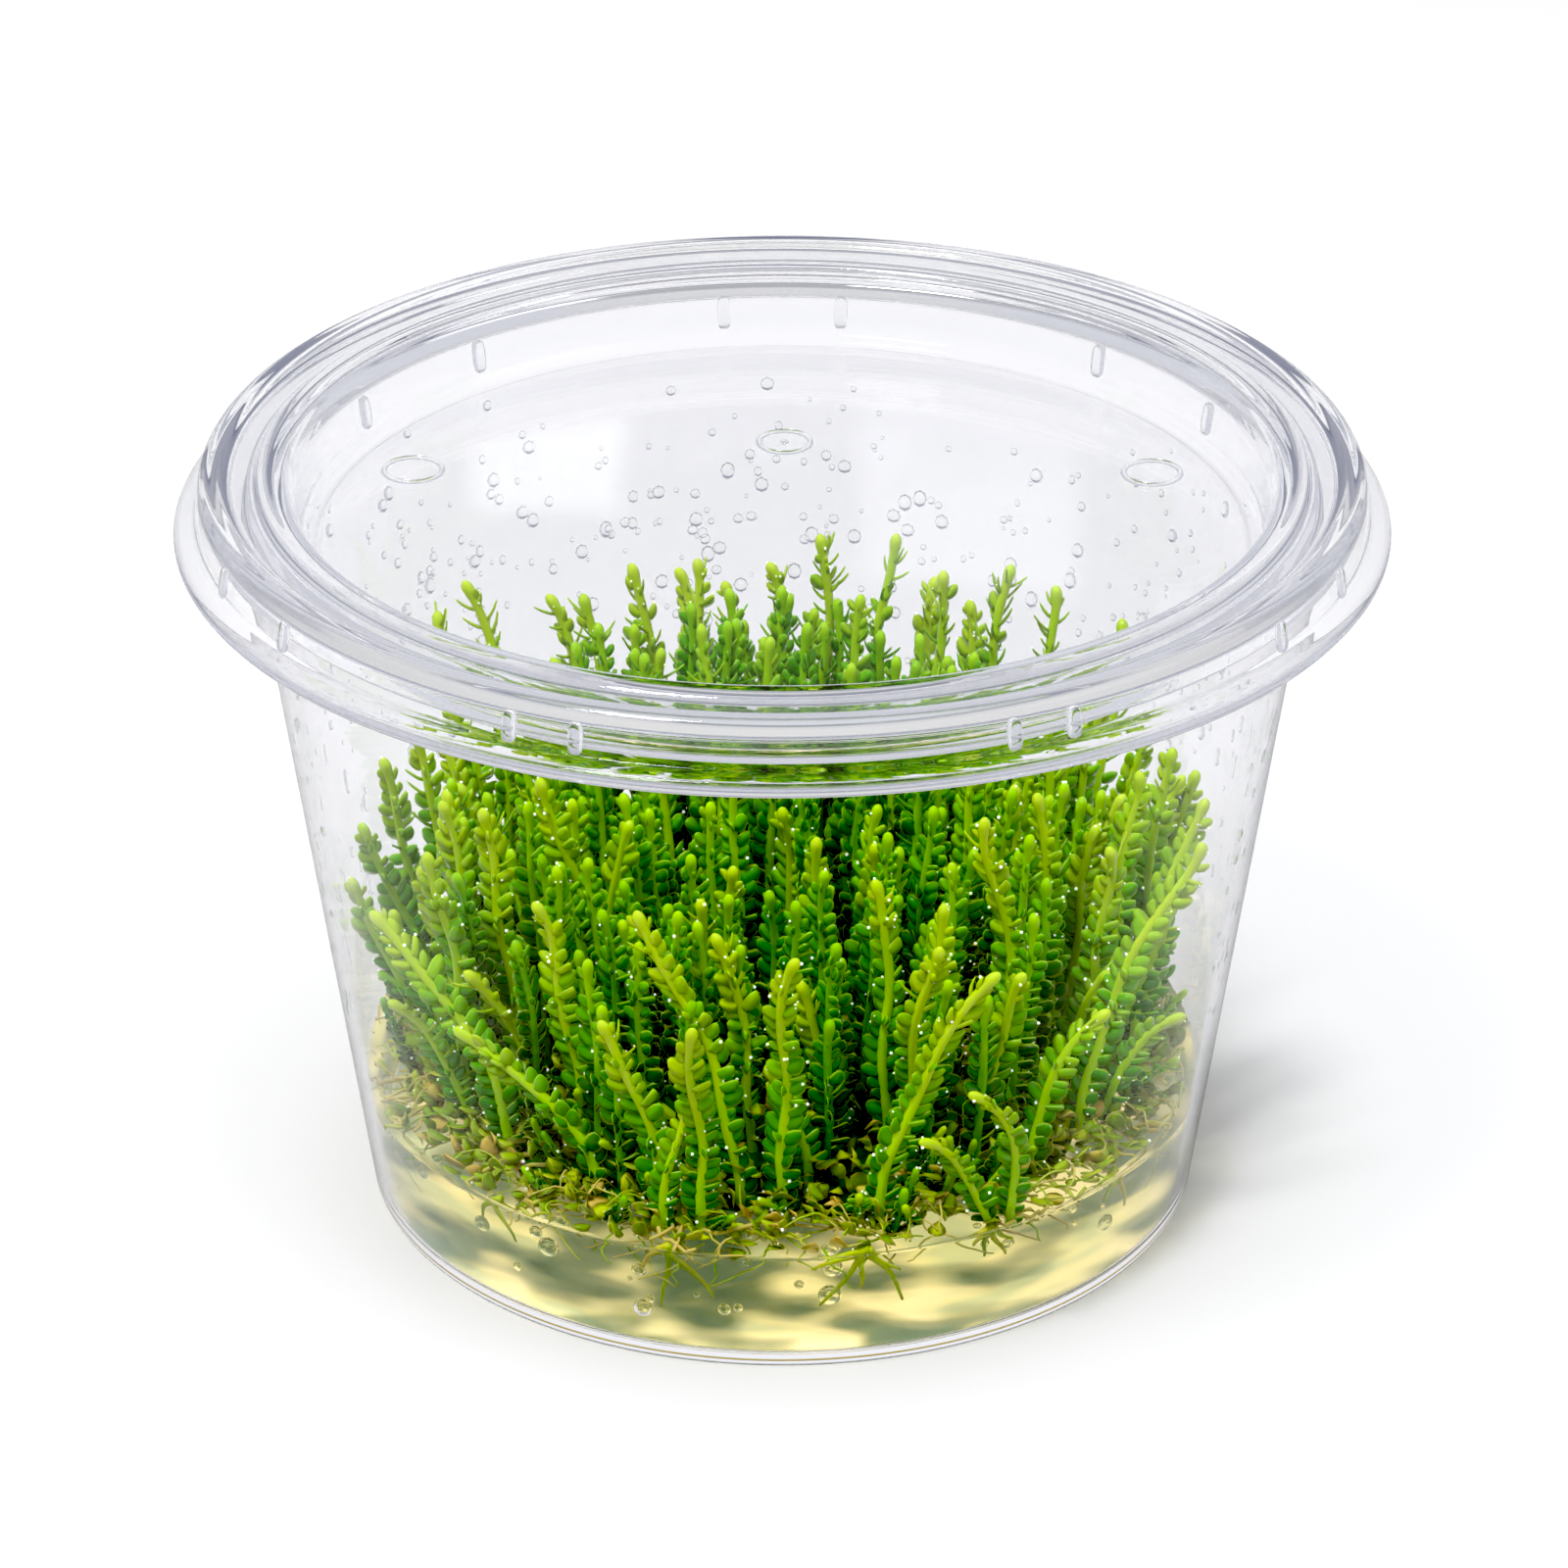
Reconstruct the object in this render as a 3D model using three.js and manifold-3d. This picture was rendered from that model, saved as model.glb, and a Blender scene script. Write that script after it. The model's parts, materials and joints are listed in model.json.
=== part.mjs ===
// A clump of aquarium moss in the clear plastic cup it was grown in: cup, push-fit lid, slab of nutrient gel,
// creeping mat with its crowded inner shoots, and the upright shoots of the outer rows.
// Millimetres, +Z up, origin at the centre of the cup's flat bottom. The front is towards -Y.

import * as THREE from "three";
import { mergeVertices } from "three/addons/utils/BufferGeometryUtils.js";
import Module from "manifold-3d";

const wasm = await Module();
wasm.setup();

// Driving dimensions

const LIP_RADIUS = 50;            // the lid's flared lip, the widest edge
const HEIGHT = 65.56;             // over the lid's beads
const AROUND = 48;                // flats on each round wall
const TURN = 2 * Math.PI;

const BASE_RADIUS = 35.1;         // cup wall outside, carried down to the table
const WALL_SLOPE = 0.1427;        // how much the wall's radius grows with height
const WALL = 1.0;                 // cup wall thickness
const FLOOR_TOP = 2.0;            // inside floor of the cup
const FOOT_ROUND = 1.8;           // rounding where the wall meets the bottom
const WALL_TOP = 61.4;            // where the wall turns out into the rim
const RIM_TOP = 63.6;             // top of the cup's rim, inside the lid
const RIM_RADIUS = 46.2;          // outer edge of the cup's rim

const PANEL_TOP = 58.9;           // the lid's sunken flat panel
const PANEL_RADIUS = 38.2;        // its flat part
const LID_SHEET = 0.9;            // lid thickness
const RIB = { wide: 0.9, deep: 0.8, tall: 3.6 };

const GAP = 0.3;                  // left between pieces that touch
const GEL_TOP = 10.4;             // surface of the gel
const MENISCUS = 0.7;             // how far the gel climbs at the wall

const MAT_RADIUS = 31.5;          // creeping mat on the gel
const MAT_TOP = 12.6;
const SHOOT_FOOT = MAT_TOP + GAP; // the free shoots stand on the mat
const LEAF_SPREAD = 1.45;         // half width of a shoot over its leaves
const LEAF_WAIST = 0.95;          // half width between two whorls of leaves
const STEM_DEPTH = 0.5;           // half thickness of a shoot, edge on
const SHOOT_SPACING = 2.7;        // closest that two free shoots' centre lines come
const GOLDEN_ANGLE = Math.PI * (3 - Math.sqrt(5));

const CLEAR_PLASTIC = new THREE.MeshStandardMaterial({
  color: 0xeef1f8,
  roughness: 0.05,
  metalness: 0,
  transparent: true,
  opacity: 0.3,
});
const GEL = new THREE.MeshStandardMaterial({
  color: 0xe9e6c4,
  roughness: 0.12,
  metalness: 0,
  transparent: true,
  opacity: 0.6,
});
const MAT_GREEN = new THREE.MeshStandardMaterial({ color: 0x2f7a12, roughness: 0.5, metalness: 0 });
const SHOOT_GREEN = new THREE.MeshStandardMaterial({ color: 0x7cc41f, roughness: 0.4, metalness: 0 });

// Shared helpers

const wallOutside = (z) => BASE_RADIUS + WALL_SLOPE * z;
const wallInside = (z) => wallOutside(z) - WALL;

// A repeatable scatter between 0 and 1 for the n-th plant and the given property.
function scatter(n, property) {
  const s = Math.sin(n * 12.9898 + property * 78.233) * 43758.5453;
  return s - Math.floor(s);
}

// One closed skin: shared vertices merged, no needle triangles, faces turned outward.
function closed(geometry) {
  geometry.deleteAttribute("normal");
  geometry.deleteAttribute("uv");
  const merged = mergeVertices(geometry, 1e-4);
  const index = merged.index.array;
  const p = merged.attributes.position;
  const kept = [];
  let volume = 0;
  for (let i = 0; i < index.length; i += 3) {
    const [a, b, c] = [index[i], index[i + 1], index[i + 2]];
    if (a === b || b === c || c === a) continue;
    kept.push(a, b, c);
    const va = new THREE.Vector3().fromBufferAttribute(p, a);
    const vb = new THREE.Vector3().fromBufferAttribute(p, b);
    const vc = new THREE.Vector3().fromBufferAttribute(p, c);
    volume += va.dot(vb.cross(vc));
  }
  if (volume < 0) kept.reverse();
  merged.setIndex(kept);
  return merged;
}

function solid(geometry) {
  const skin = closed(geometry);
  return new wasm.Manifold(new wasm.Mesh({
    numProp: 3,
    vertProperties: new Float32Array(skin.attributes.position.array),
    triVerts: new Uint32Array(skin.index.array),
  }));
}

function geometryOf(manifold) {
  const mesh = manifold.getMesh();
  const geometry = new THREE.BufferGeometry();
  geometry.setAttribute("position", new THREE.BufferAttribute(new Float32Array(mesh.vertProperties), 3));
  geometry.setIndex([...mesh.triVerts]);
  return geometry;
}

// A round body from its profile of [radius, height] points, which starts and ends on the axis.
function turned(profile) {
  const points = profile.map(([r, z]) => new THREE.Vector2(r, z));
  return new THREE.LatheGeometry(points, AROUND).rotateX(Math.PI / 2);
}

// Cup: flat bottom, rounded foot, tapered wall and a rim that turns out under the lid.

function cup() {
  const footZ = FOOT_ROUND * (1 - Math.SQRT1_2);
  const profile = [
    [0, 0],
    [BASE_RADIUS - FOOT_ROUND, 0],
    [BASE_RADIUS - FOOT_ROUND * (1 - Math.SQRT1_2), footZ],
    [wallOutside(FOOT_ROUND), FOOT_ROUND],
    [wallOutside(WALL_TOP), WALL_TOP],
    [RIM_RADIUS, WALL_TOP + 0.5],
    [RIM_RADIUS, RIM_TOP - 0.3],
    [RIM_RADIUS - 0.4, RIM_TOP],
    [wallInside(WALL_TOP) + 0.6, RIM_TOP],
    [wallInside(WALL_TOP), RIM_TOP - 0.9],
    [wallInside(FLOOR_TOP + 1.2), FLOOR_TOP + 1.2],
    [wallInside(FLOOR_TOP) - 1.2, FLOOR_TOP],
    [0, FLOOR_TOP],
  ];
  return closed(turned(profile));
}

// Lid: sunken panel, wall rising to two round beads with a groove between, skirt, flange and lip.

function lidShell() {
  const underside = PANEL_TOP - LID_SHEET;
  return turned([
    [0, PANEL_TOP],
    [PANEL_RADIUS, PANEL_TOP],
    [39.2, PANEL_TOP + 0.6],
    [39.7, 62.6],
    [40.5, 65.0],
    [41.2, HEIGHT],
    [42.7, HEIGHT],
    [43.4, 64.95],
    [45.2, 64.95],
    [45.8, HEIGHT],
    [47.1, HEIGHT],
    [47.75, 64.9],
    [48.2, 61.9],
    [49.4, 61.3],
    [LIP_RADIUS, 60.6],
    [49.6, 60.1],
    [47.4, 60.9],
    [46.8, 63.9],
    [46.1, 64.2],
    [42.3, 64.2],
    [41.4, 64.6],
    [40.7, 62.4],
    [40.3, 59.1],
    [39.3, underside],
    [0, underside],
  ]);
}

// Each pair of upright ribs: its middle, in degrees round the lid from the front, and half of what lies between.
const RECESS_RIB_PAIRS = [[-128, 10.8], [126, 10.8], [180, 7.4]];
const SKIRT_RIB_PAIRS = [[-61, 6.6], [-22.4, 3.3], [24.6, 3.0], [61, 6.6]];

function rib(degrees, radius, z) {
  const turn = THREE.MathUtils.degToRad(degrees) - Math.PI / 2;
  return new THREE.BoxGeometry(RIB.deep, RIB.wide, RIB.tall)
    .translate(radius, 0, z)
    .rotateZ(turn);
}

function lid() {
  let body = solid(lidShell());
  const addPair = ([centre, half], radius, z) => {
    for (const side of [-1, 1]) {
      body = body.add(solid(rib(centre + side * half, radius, z)));
    }
  };
  for (const pair of RECESS_RIB_PAIRS) addPair(pair, 39.6, 61.5);
  for (const pair of SKIRT_RIB_PAIRS) addPair(pair, 47.9, 63.1);
  return geometryOf(body);
}

// Gel slab, a little clear of the cup, with a low meniscus at the wall.

function gel() {
  const bottom = FLOOR_TOP + GAP;
  return closed(turned([
    [0, bottom],
    [wallInside(bottom) - 1.6, bottom],
    [wallInside(bottom + 1.3) - GAP, bottom + 1.3],
    [wallInside(GEL_TOP + MENISCUS) - GAP, GEL_TOP + MENISCUS],
    [wallInside(GEL_TOP) - GAP - 1.2, GEL_TOP],
    [0, GEL_TOP],
  ]));
}

// Shoots. Each one leaves its foot nearly upright and bends towards its tip. It is cut into level rings,
// wide at each whorl of leaves and narrower between, and it ends in a blunt club.

function shoot(foot, tip, { rings = 6, turn = 0, footZ = SHOOT_FOOT } = {}) {
  const leafX = Math.cos(turn);
  const leafY = Math.sin(turn);
  const geometry = new THREE.CylinderGeometry(1, 1, 1, 4, rings);
  const p = geometry.attributes.position;
  for (let i = 0; i < p.count; i++) {
    const t = p.getY(i) + 0.5;
    const ring = Math.round(t * rings);
    const [x, y, z] = along(foot, tip, footZ, t);
    const leafy = ring % 2 === 1 ? LEAF_SPREAD : LEAF_WAIST;
    const half = ring === rings ? 0.45 : ring === 0 ? 0.6 : leafy;
    const across = p.getX(i) * half;
    const deep = p.getZ(i) * Math.min(half, STEM_DEPTH);
    p.setXYZ(i, x + leafX * across + leafY * deep, y + leafY * across - leafX * deep, z);
  }
  return geometry;
}

// The centre line, from foot (t = 0) to tip (t = 1).
function along(foot, tip, footZ, t) {
  const bend = 0.3 + 0.7 * t;
  return [
    foot[0] + (tip[0] - foot[0]) * t * bend,
    foot[1] + (tip[1] - foot[1]) * t * bend,
    footZ + (tip[2] - footZ) * t,
  ];
}

function distanceBetween(a, b) {
  let nearest = Infinity;
  const top = Math.min(a.tip[2], b.tip[2]);
  for (let z = SHOOT_FOOT; z <= top; z += 1) {
    const [ax, ay] = along(a.foot, a.tip, SHOOT_FOOT, (z - SHOOT_FOOT) / (a.tip[2] - SHOOT_FOOT));
    const [bx, by] = along(b.foot, b.tip, SHOOT_FOOT, (z - SHOOT_FOOT) / (b.tip[2] - SHOOT_FOOT));
    nearest = Math.min(nearest, Math.hypot(ax - bx, ay - by));
  }
  return nearest;
}

// The shoots that show one by one: foot [x, y] on the mat and tip [x, y, z].
const FRONT_SHOOTS = [
  { foot: [-15.5, -24], tip: [-26.5, -21, 24.5] },
  { foot: [-10, -27], tip: [-14.5, -28, 29] },
  { foot: [-3.5, -26], tip: [-12, -26, 38] },
  { foot: [-2.5, -19.5], tip: [-4.8, -21.5, 33.5] },
  { foot: [4.2, -19], tip: [1.8, -20.5, 28.5] },
  { foot: [2, -25], tip: [-1, -26.5, 24] },
  { foot: [8.5, -20], tip: [8.3, -21.5, 38.5] },
  { foot: [13, -20], tip: [13.2, -22, 36.5] },
  { foot: [8, -29.5], tip: [17, -29, 34] },
  { foot: [20.5, -20.5], tip: [26, -21, 26] },
  { foot: [25, -14], tip: [35, -12.5, 37] },
  { foot: [-22.5, -18.5], tip: [-33.5, -16, 32.5] },
  { foot: [-26.5, -5.5], tip: [-30.5, -8, 32.5] },
  { foot: [-20.5, -15], tip: [-25, -17, 27.5] },
  { foot: [-16.5, -18.5], tip: [-19.8, -20, 35.5] },
  { foot: [20, -14], tip: [16, -16.5, 41.5] },
  { foot: [26, -7.5], tip: [27.4, -9.5, 35] },
  { foot: [30, -4], tip: [35.4, -3, 36] },
];
const BACK_SHOOTS = [
  { foot: [-25, 17.5], tip: [-30.2, 21, 41] },
  { foot: [-22.5, 21], tip: [-27, 24, 42.5] },
  { foot: [-17, 25], tip: [-19.5, 27.5, 39.5] },
  { foot: [-15, 20.5], tip: [-16.8, 22.5, 42] },
  { foot: [-10.5, 25], tip: [-12.6, 27.5, 42.5] },
  { foot: [-6, 22.5], tip: [-7.5, 24, 44.5] },
  { foot: [-3.5, 27.5], tip: [-5, 30, 39.5] },
  { foot: [0.5, 24.5], tip: [-0.7, 26.5, 43] },
  { foot: [4, 23], tip: [3.8, 25, 46.5] },
  { foot: [7, 25.5], tip: [9.7, 28, 45] },
  { foot: [12, 22.5], tip: [14.4, 24, 43.5] },
  { foot: [17, 23.5], tip: [19.7, 26, 43] },
  { foot: [21.5, 21], tip: [24.4, 24, 42] },
  { foot: [26, 15.5], tip: [30, 19.5, 41] },
];

// Leaves mostly lie open to the front, with some turn from shoot to shoot.
const leafTurn = (n) => (scatter(n, 3) - 0.5) * 1.1;

// The rest of the free shoots stand in a ring near the wall, where no listed shoot is in the way.
const FREE_SHOOTS = 54;
const RING = { inner: 23, outer: 31, tries: 260 };

function ringShoot(n) {
  const angle = n * GOLDEN_ANGLE;
  const radius = RING.inner + (RING.outer - RING.inner) * scatter(n, 1);
  const lean = 2 + 4 * scatter(n, 2);
  const height = 30 + 10 * scatter(n, 4);
  const [c, s] = [Math.cos(angle), Math.sin(angle)];
  return { foot: [radius * c, radius * s], tip: [(radius + lean) * c, (radius + lean) * s, height] };
}

function freeShoots() {
  const placed = [...FRONT_SHOOTS, ...BACK_SHOOTS];
  for (let n = 0; n < RING.tries && placed.length < FREE_SHOOTS; n++) {
    const next = ringShoot(n);
    if (placed.every((other) => distanceBetween(next, other) > SHOOT_SPACING + 0.2)) placed.push(next);
  }
  return placed;
}

// Mat: a lobed cushion on the gel with the crowded inner shoots fused to it.

const INNER = { count: 62, radius: 22.5, low: 31, high: 44, rings: 4 };

function innerShoot(n) {
  const angle = n * GOLDEN_ANGLE + 0.4;
  const radius = INNER.radius * Math.sqrt((n + 0.5) / INNER.count);
  const [c, s] = [Math.cos(angle), Math.sin(angle)];
  const lean = 1 + 2 * scatter(n, 5);
  const backward = 0.5 + 0.5 * s;
  const height = INNER.low + (INNER.high - INNER.low) * (0.35 * scatter(n, 6) + 0.65 * backward);
  return { foot: [radius * c, radius * s], tip: [(radius + lean) * c, (radius + lean) * s, height] };
}

function mat(free) {
  const outline = new THREE.Shape();
  const corners = 32;
  for (let i = 0; i < corners; i++) {
    const a = (i / corners) * TURN;
    const r = MAT_RADIUS + 0.8 * Math.sin(5 * a) + 0.6 * Math.sin(8 * a + 1);
    if (i === 0) outline.moveTo(r * Math.cos(a), r * Math.sin(a));
    else outline.lineTo(r * Math.cos(a), r * Math.sin(a));
  }
  const bottom = GEL_TOP + 0.2;
  const cushion = new THREE.ExtrudeGeometry(outline, { depth: MAT_TOP - bottom, bevelEnabled: false });
  let body = solid(cushion.translate(0, 0, bottom));
  for (let n = 0; n < INNER.count; n++) {
    const next = innerShoot(n);
    if (!free.every((other) => distanceBetween(next, other) > SHOOT_SPACING + 0.2)) continue;
    const spike = shoot(next.foot, next.tip, { rings: INNER.rings, turn: leafTurn(n), footZ: MAT_TOP - 1 });
    body = body.add(solid(spike));
  }
  return geometryOf(body);
}

// Assembly

const object = new THREE.Group();

function place(name, geometry, material) {
  const mesh = new THREE.Mesh(geometry, material);
  mesh.name = name;
  object.add(mesh);
}

place("cup", cup(), CLEAR_PLASTIC);
place("lid", lid(), CLEAR_PLASTIC);
place("gel", gel(), GEL);

const free = freeShoots();
place("moss_mat", mat(free), MAT_GREEN);
free.forEach(({ foot, tip }, i) => {
  const name = `shoot_${String(i + 1).padStart(2, "0")}`;
  place(name, closed(shoot(foot, tip, { turn: leafTurn(i) })), SHOOT_GREEN);
});

export default object;
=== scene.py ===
"""Aquarium moss growing on nutrient gel in a clear lidded cup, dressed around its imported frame.

Lengths are millimetres in the settings and where the pieces are shaped, and metres in the scene, on its
stage and in the materials.
"""

import json
import math
import random

import bpy
import numpy as np
from bpy.props import FloatProperty, FloatVectorProperty, IntProperty, PointerProperty, StringProperty
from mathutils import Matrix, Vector

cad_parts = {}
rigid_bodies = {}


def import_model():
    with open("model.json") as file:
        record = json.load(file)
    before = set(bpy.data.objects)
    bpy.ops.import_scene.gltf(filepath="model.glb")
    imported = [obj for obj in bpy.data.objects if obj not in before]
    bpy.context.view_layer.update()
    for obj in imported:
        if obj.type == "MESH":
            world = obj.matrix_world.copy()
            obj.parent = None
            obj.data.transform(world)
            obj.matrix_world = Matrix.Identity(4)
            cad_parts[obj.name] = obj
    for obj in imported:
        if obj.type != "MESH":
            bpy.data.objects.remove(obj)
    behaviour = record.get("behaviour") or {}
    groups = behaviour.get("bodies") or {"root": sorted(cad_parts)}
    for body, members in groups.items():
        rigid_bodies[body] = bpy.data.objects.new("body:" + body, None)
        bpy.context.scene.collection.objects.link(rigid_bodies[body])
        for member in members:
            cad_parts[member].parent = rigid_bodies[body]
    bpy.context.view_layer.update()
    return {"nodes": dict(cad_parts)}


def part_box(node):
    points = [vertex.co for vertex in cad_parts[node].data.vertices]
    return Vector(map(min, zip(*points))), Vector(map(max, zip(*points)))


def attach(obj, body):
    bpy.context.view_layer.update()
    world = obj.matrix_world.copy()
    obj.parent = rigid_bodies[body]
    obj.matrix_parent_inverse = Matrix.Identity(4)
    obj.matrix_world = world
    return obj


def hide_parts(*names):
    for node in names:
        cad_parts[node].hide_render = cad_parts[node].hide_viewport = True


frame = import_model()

bl_info = {
    "name": "Moss Cup",
    "version": (1, 0, 0),
    "blender": (4, 5, 0),
    "location": "3D View > Sidebar > Moss Cup",
    "description": "Dresses a lidded culture cup of aquarium moss around its frame",
    "category": "Object",
}

MM = 0.001
TURN = 2 * math.pi
GOLDEN_ANGLE = math.pi * (3 - math.sqrt(5))
IMAGE_SIZE = 1600

FREE_SHOOTS = sorted(n for n in frame["nodes"] if n.startswith("shoot_"))


# Settings

class JarSettings(bpy.types.PropertyGroup):
    """Sizes of the clear cup and lid that the frame doesn't give by itself."""

    wall: FloatProperty(name="Wall", description="Cup wall thickness in mm", default=1.0, min=0.4, max=3)
    facets: IntProperty(name="Smoothness", description="Steps round the cup and lid", default=224, min=48)
    plastic_ior: FloatProperty(name="Plastic IOR", description="Index of clear polypropylene", default=1.49)
    plastic_tint: StringProperty(name="Plastic", description="Tint of the plastic", default="#FAFAFB")


class GelSettings(bpy.types.PropertyGroup):
    """The slab of clear nutrient gel and the air caught in it."""

    ior: FloatProperty(name="Gel IOR", description="Index of set agar", default=1.335)
    bubbles: IntProperty(name="Bubbles", description="Small air bubbles in the gel", default=46, min=0)
    colour: StringProperty(name="Gel colour", description="What the gel lets through", default="#F7F3BE")
    density: FloatProperty(name="Gel depth", description="Absorption for each metre", default=26.0)


class MossSettings(bpy.types.PropertyGroup):
    """Leaves, stems and numbers of the moss."""

    seed: IntProperty(name="Seed", description="Start of the natural scatter", default=7)
    leaf_length: FloatProperty(name="Leaf length", description="In mm", default=1.52, min=0.3, max=4)
    leaf_width: FloatProperty(name="Leaf width", description="In mm", default=1.32, min=0.2, max=3)
    leaf_step: FloatProperty(name="Leaf step", description="Along each side of the stem, in mm", default=1.22)
    stem_radius: FloatProperty(name="Stem radius", description="In mm", default=0.47, min=0.1)
    club_radius: FloatProperty(name="Tip radius", description="Of the club at a tip, in mm", default=0.62)
    inner_shoots: IntProperty(name="Inner shoots", description="Crowded shoots on the mat", default=178)
    foot_leaves: IntProperty(name="Foot leaves", description="Round leaves round the foot", default=3000)
    runners: IntProperty(name="Runners", description="Creeping stems on the gel", default=60)
    rhizoids: IntProperty(name="Rhizoids", description="Fine threads on and in the gel", default=380)


class DropSettings(bpy.types.PropertyGroup):
    """Condensation on the walls and dew on the leaves."""

    wall_drops: IntProperty(name="Wall drops", description="Drops on the cup's wall", default=500)
    dew: IntProperty(name="Dew", description="Tiny drops on the leaves", default=3200)


class StageSettings(bpy.types.PropertyGroup):
    """Camera, floor and studio light."""

    distance: FloatProperty(name="Distance", description="Camera to the axis", default=0.4957, unit="LENGTH")
    height: FloatProperty(name="Height", description="Camera over the floor", default=0.2942, unit="LENGTH")
    pitch: FloatProperty(name="Pitch", description="Camera looks down", default=0.481, unit="ROTATION")
    focal_px: FloatProperty(name="Focal length", description="In pixels of the square image", default=6795.0)
    centre_px: FloatProperty(name="Axis column", description="Column of the cup's axis", default=798.3)
    pane_glow: FloatProperty(name="Window glow", description="Added to the room's light", default=1.1)
    room_light: FloatProperty(name="Room light", description="Strength of the pale room", default=0.84)
    black: FloatVectorProperty(
        name="Black level",
        description="Haze taken off the picture",
        subtype="COLOR",
        default=(0.05, 0.052, 0.068),
    )
    floor: FloatVectorProperty(
        name="Floor",
        description="Colour of the floor's paint",
        subtype="COLOR",
        default=(0.93, 0.93, 0.935),
        min=0,
        max=1,
    )


# Colour and material helpers

# The two colours that a Mix node takes, and the one that it gives
FIRST, SECOND, RESULT = 6, 7, 2


def linear(hex_colour):
    """An sRGB hex colour as the linear RGBA that a shader socket takes."""
    parts = [int(hex_colour[i:i + 2], 16) / 255 for i in (1, 3, 5)]
    curve = [c / 12.92 if c <= 0.04045 else ((c + 0.055) / 1.055) ** 2.4 for c in parts]
    return (*curve, 1.0)


def add(tree, kind, inputs=None, stops=None, **settings):
    """Adds a shader node with its settings, colour stops and inputs. A value is set, a socket is linked, and
    a node stands for its first output."""
    made = tree.nodes.new("ShaderNode" + kind)
    for name, value in settings.items():
        setattr(made, name, value)
    for i, (at, colour) in enumerate(stops or []):
        ramp = made.color_ramp.elements
        stop = ramp[i] if i < 2 else ramp.new(at)
        stop.position = at
        stop.color = linear(colour)
    for name, value in (inputs or {}).items():
        if isinstance(value, bpy.types.Node):
            value = value.outputs[0]
        if isinstance(value, bpy.types.NodeSocket):
            tree.links.new(value, made.inputs[name])
        else:
            made.inputs[name].default_value = value
    return made


def new_material(name):
    """The empty node tree of a new material."""
    material = bpy.data.materials.new(name)
    material.use_nodes = True
    material.node_tree.nodes.clear()
    return material.node_tree


# Surfaces that a ray may meet before it ends on a painted glow in the room's mean tone, and the height in m
# over which that painted glow fades from its brightest at the foot, standing in for the floor's light in the
# clear base
LAST_BOUNCE = 8.0
PAINTED_GLOW_FOOT = 0.002


def let_light_through(tree, surface, tint):
    """Clear matter stops no lamp: rays that only carry light to what stands behind it meet a plain tint, not
    the refracting surface. A ray that has run round inside it for long ends on a painted glow in the room's
    mean tone, a painted light that is brightest at the foot and stands in for the pale floor's light there."""
    rays = add(tree, "LightPath")
    depth = rays.outputs["Ray Depth"]
    tired = add(tree, "Math", {0: depth, 1: LAST_BOUNCE}, operation="GREATER_THAN")
    place = add(tree, "TexCoord").outputs["Object"]
    split = add(tree, "SeparateXYZ", {0: place})
    rise = add(tree, "MapRange", {"Value": split.outputs["Z"], "From Min": 0.0, "From Max": PAINTED_GLOW_FOOT})
    # Painted glow for rays that have run round inside for long: the room's mean tone, brightest at the foot
    tone = add(tree, "ValToRGB", {"Fac": rise}, stops=[(0.5, "#F6F6FC"), (1.0, "#DCDEE6")])
    painted_room_glow = add(tree, "Emission", {"Color": tone})
    passing = add(tree, "BsdfTransparent", {"Color": tint})
    kept = add(tree, "MixShader", {"Fac": tired, 1: surface, 2: painted_room_glow})
    lit = add(tree, "MixShader", {"Fac": rays.outputs["Is Diffuse Ray"], 1: kept, 2: passing})
    return add(tree, "MixShader", {"Fac": rays.outputs["Is Shadow Ray"], 1: lit, 2: passing})


# Materials

# Waves in a metre of each pattern: the moulding's ripple 25 mm long, the gel's skin 14 mm, its patches of
# painted light and shade 12 mm across and 3 mm high, its veil of settled salts and painted light 8 mm, moss
# tissue 2 mm, and droplets 1 mm
RIPPLE = 40.0
GEL_SKIN = 70.0
GEL_LIGHT_PATCH = (85.0, 85.0, 300.0)
VEIL = 120.0
TISSUE = 500.0
DROPLET = 900.0

# The rounded edge of the base, where fine lines of painted shade and painted highlight go: how far out from
# the axis they start, and the height they span, both in m
PAINTED_LINES_FROM = 0.0347
PAINTED_LINES_HEIGHT = 0.001


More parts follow.
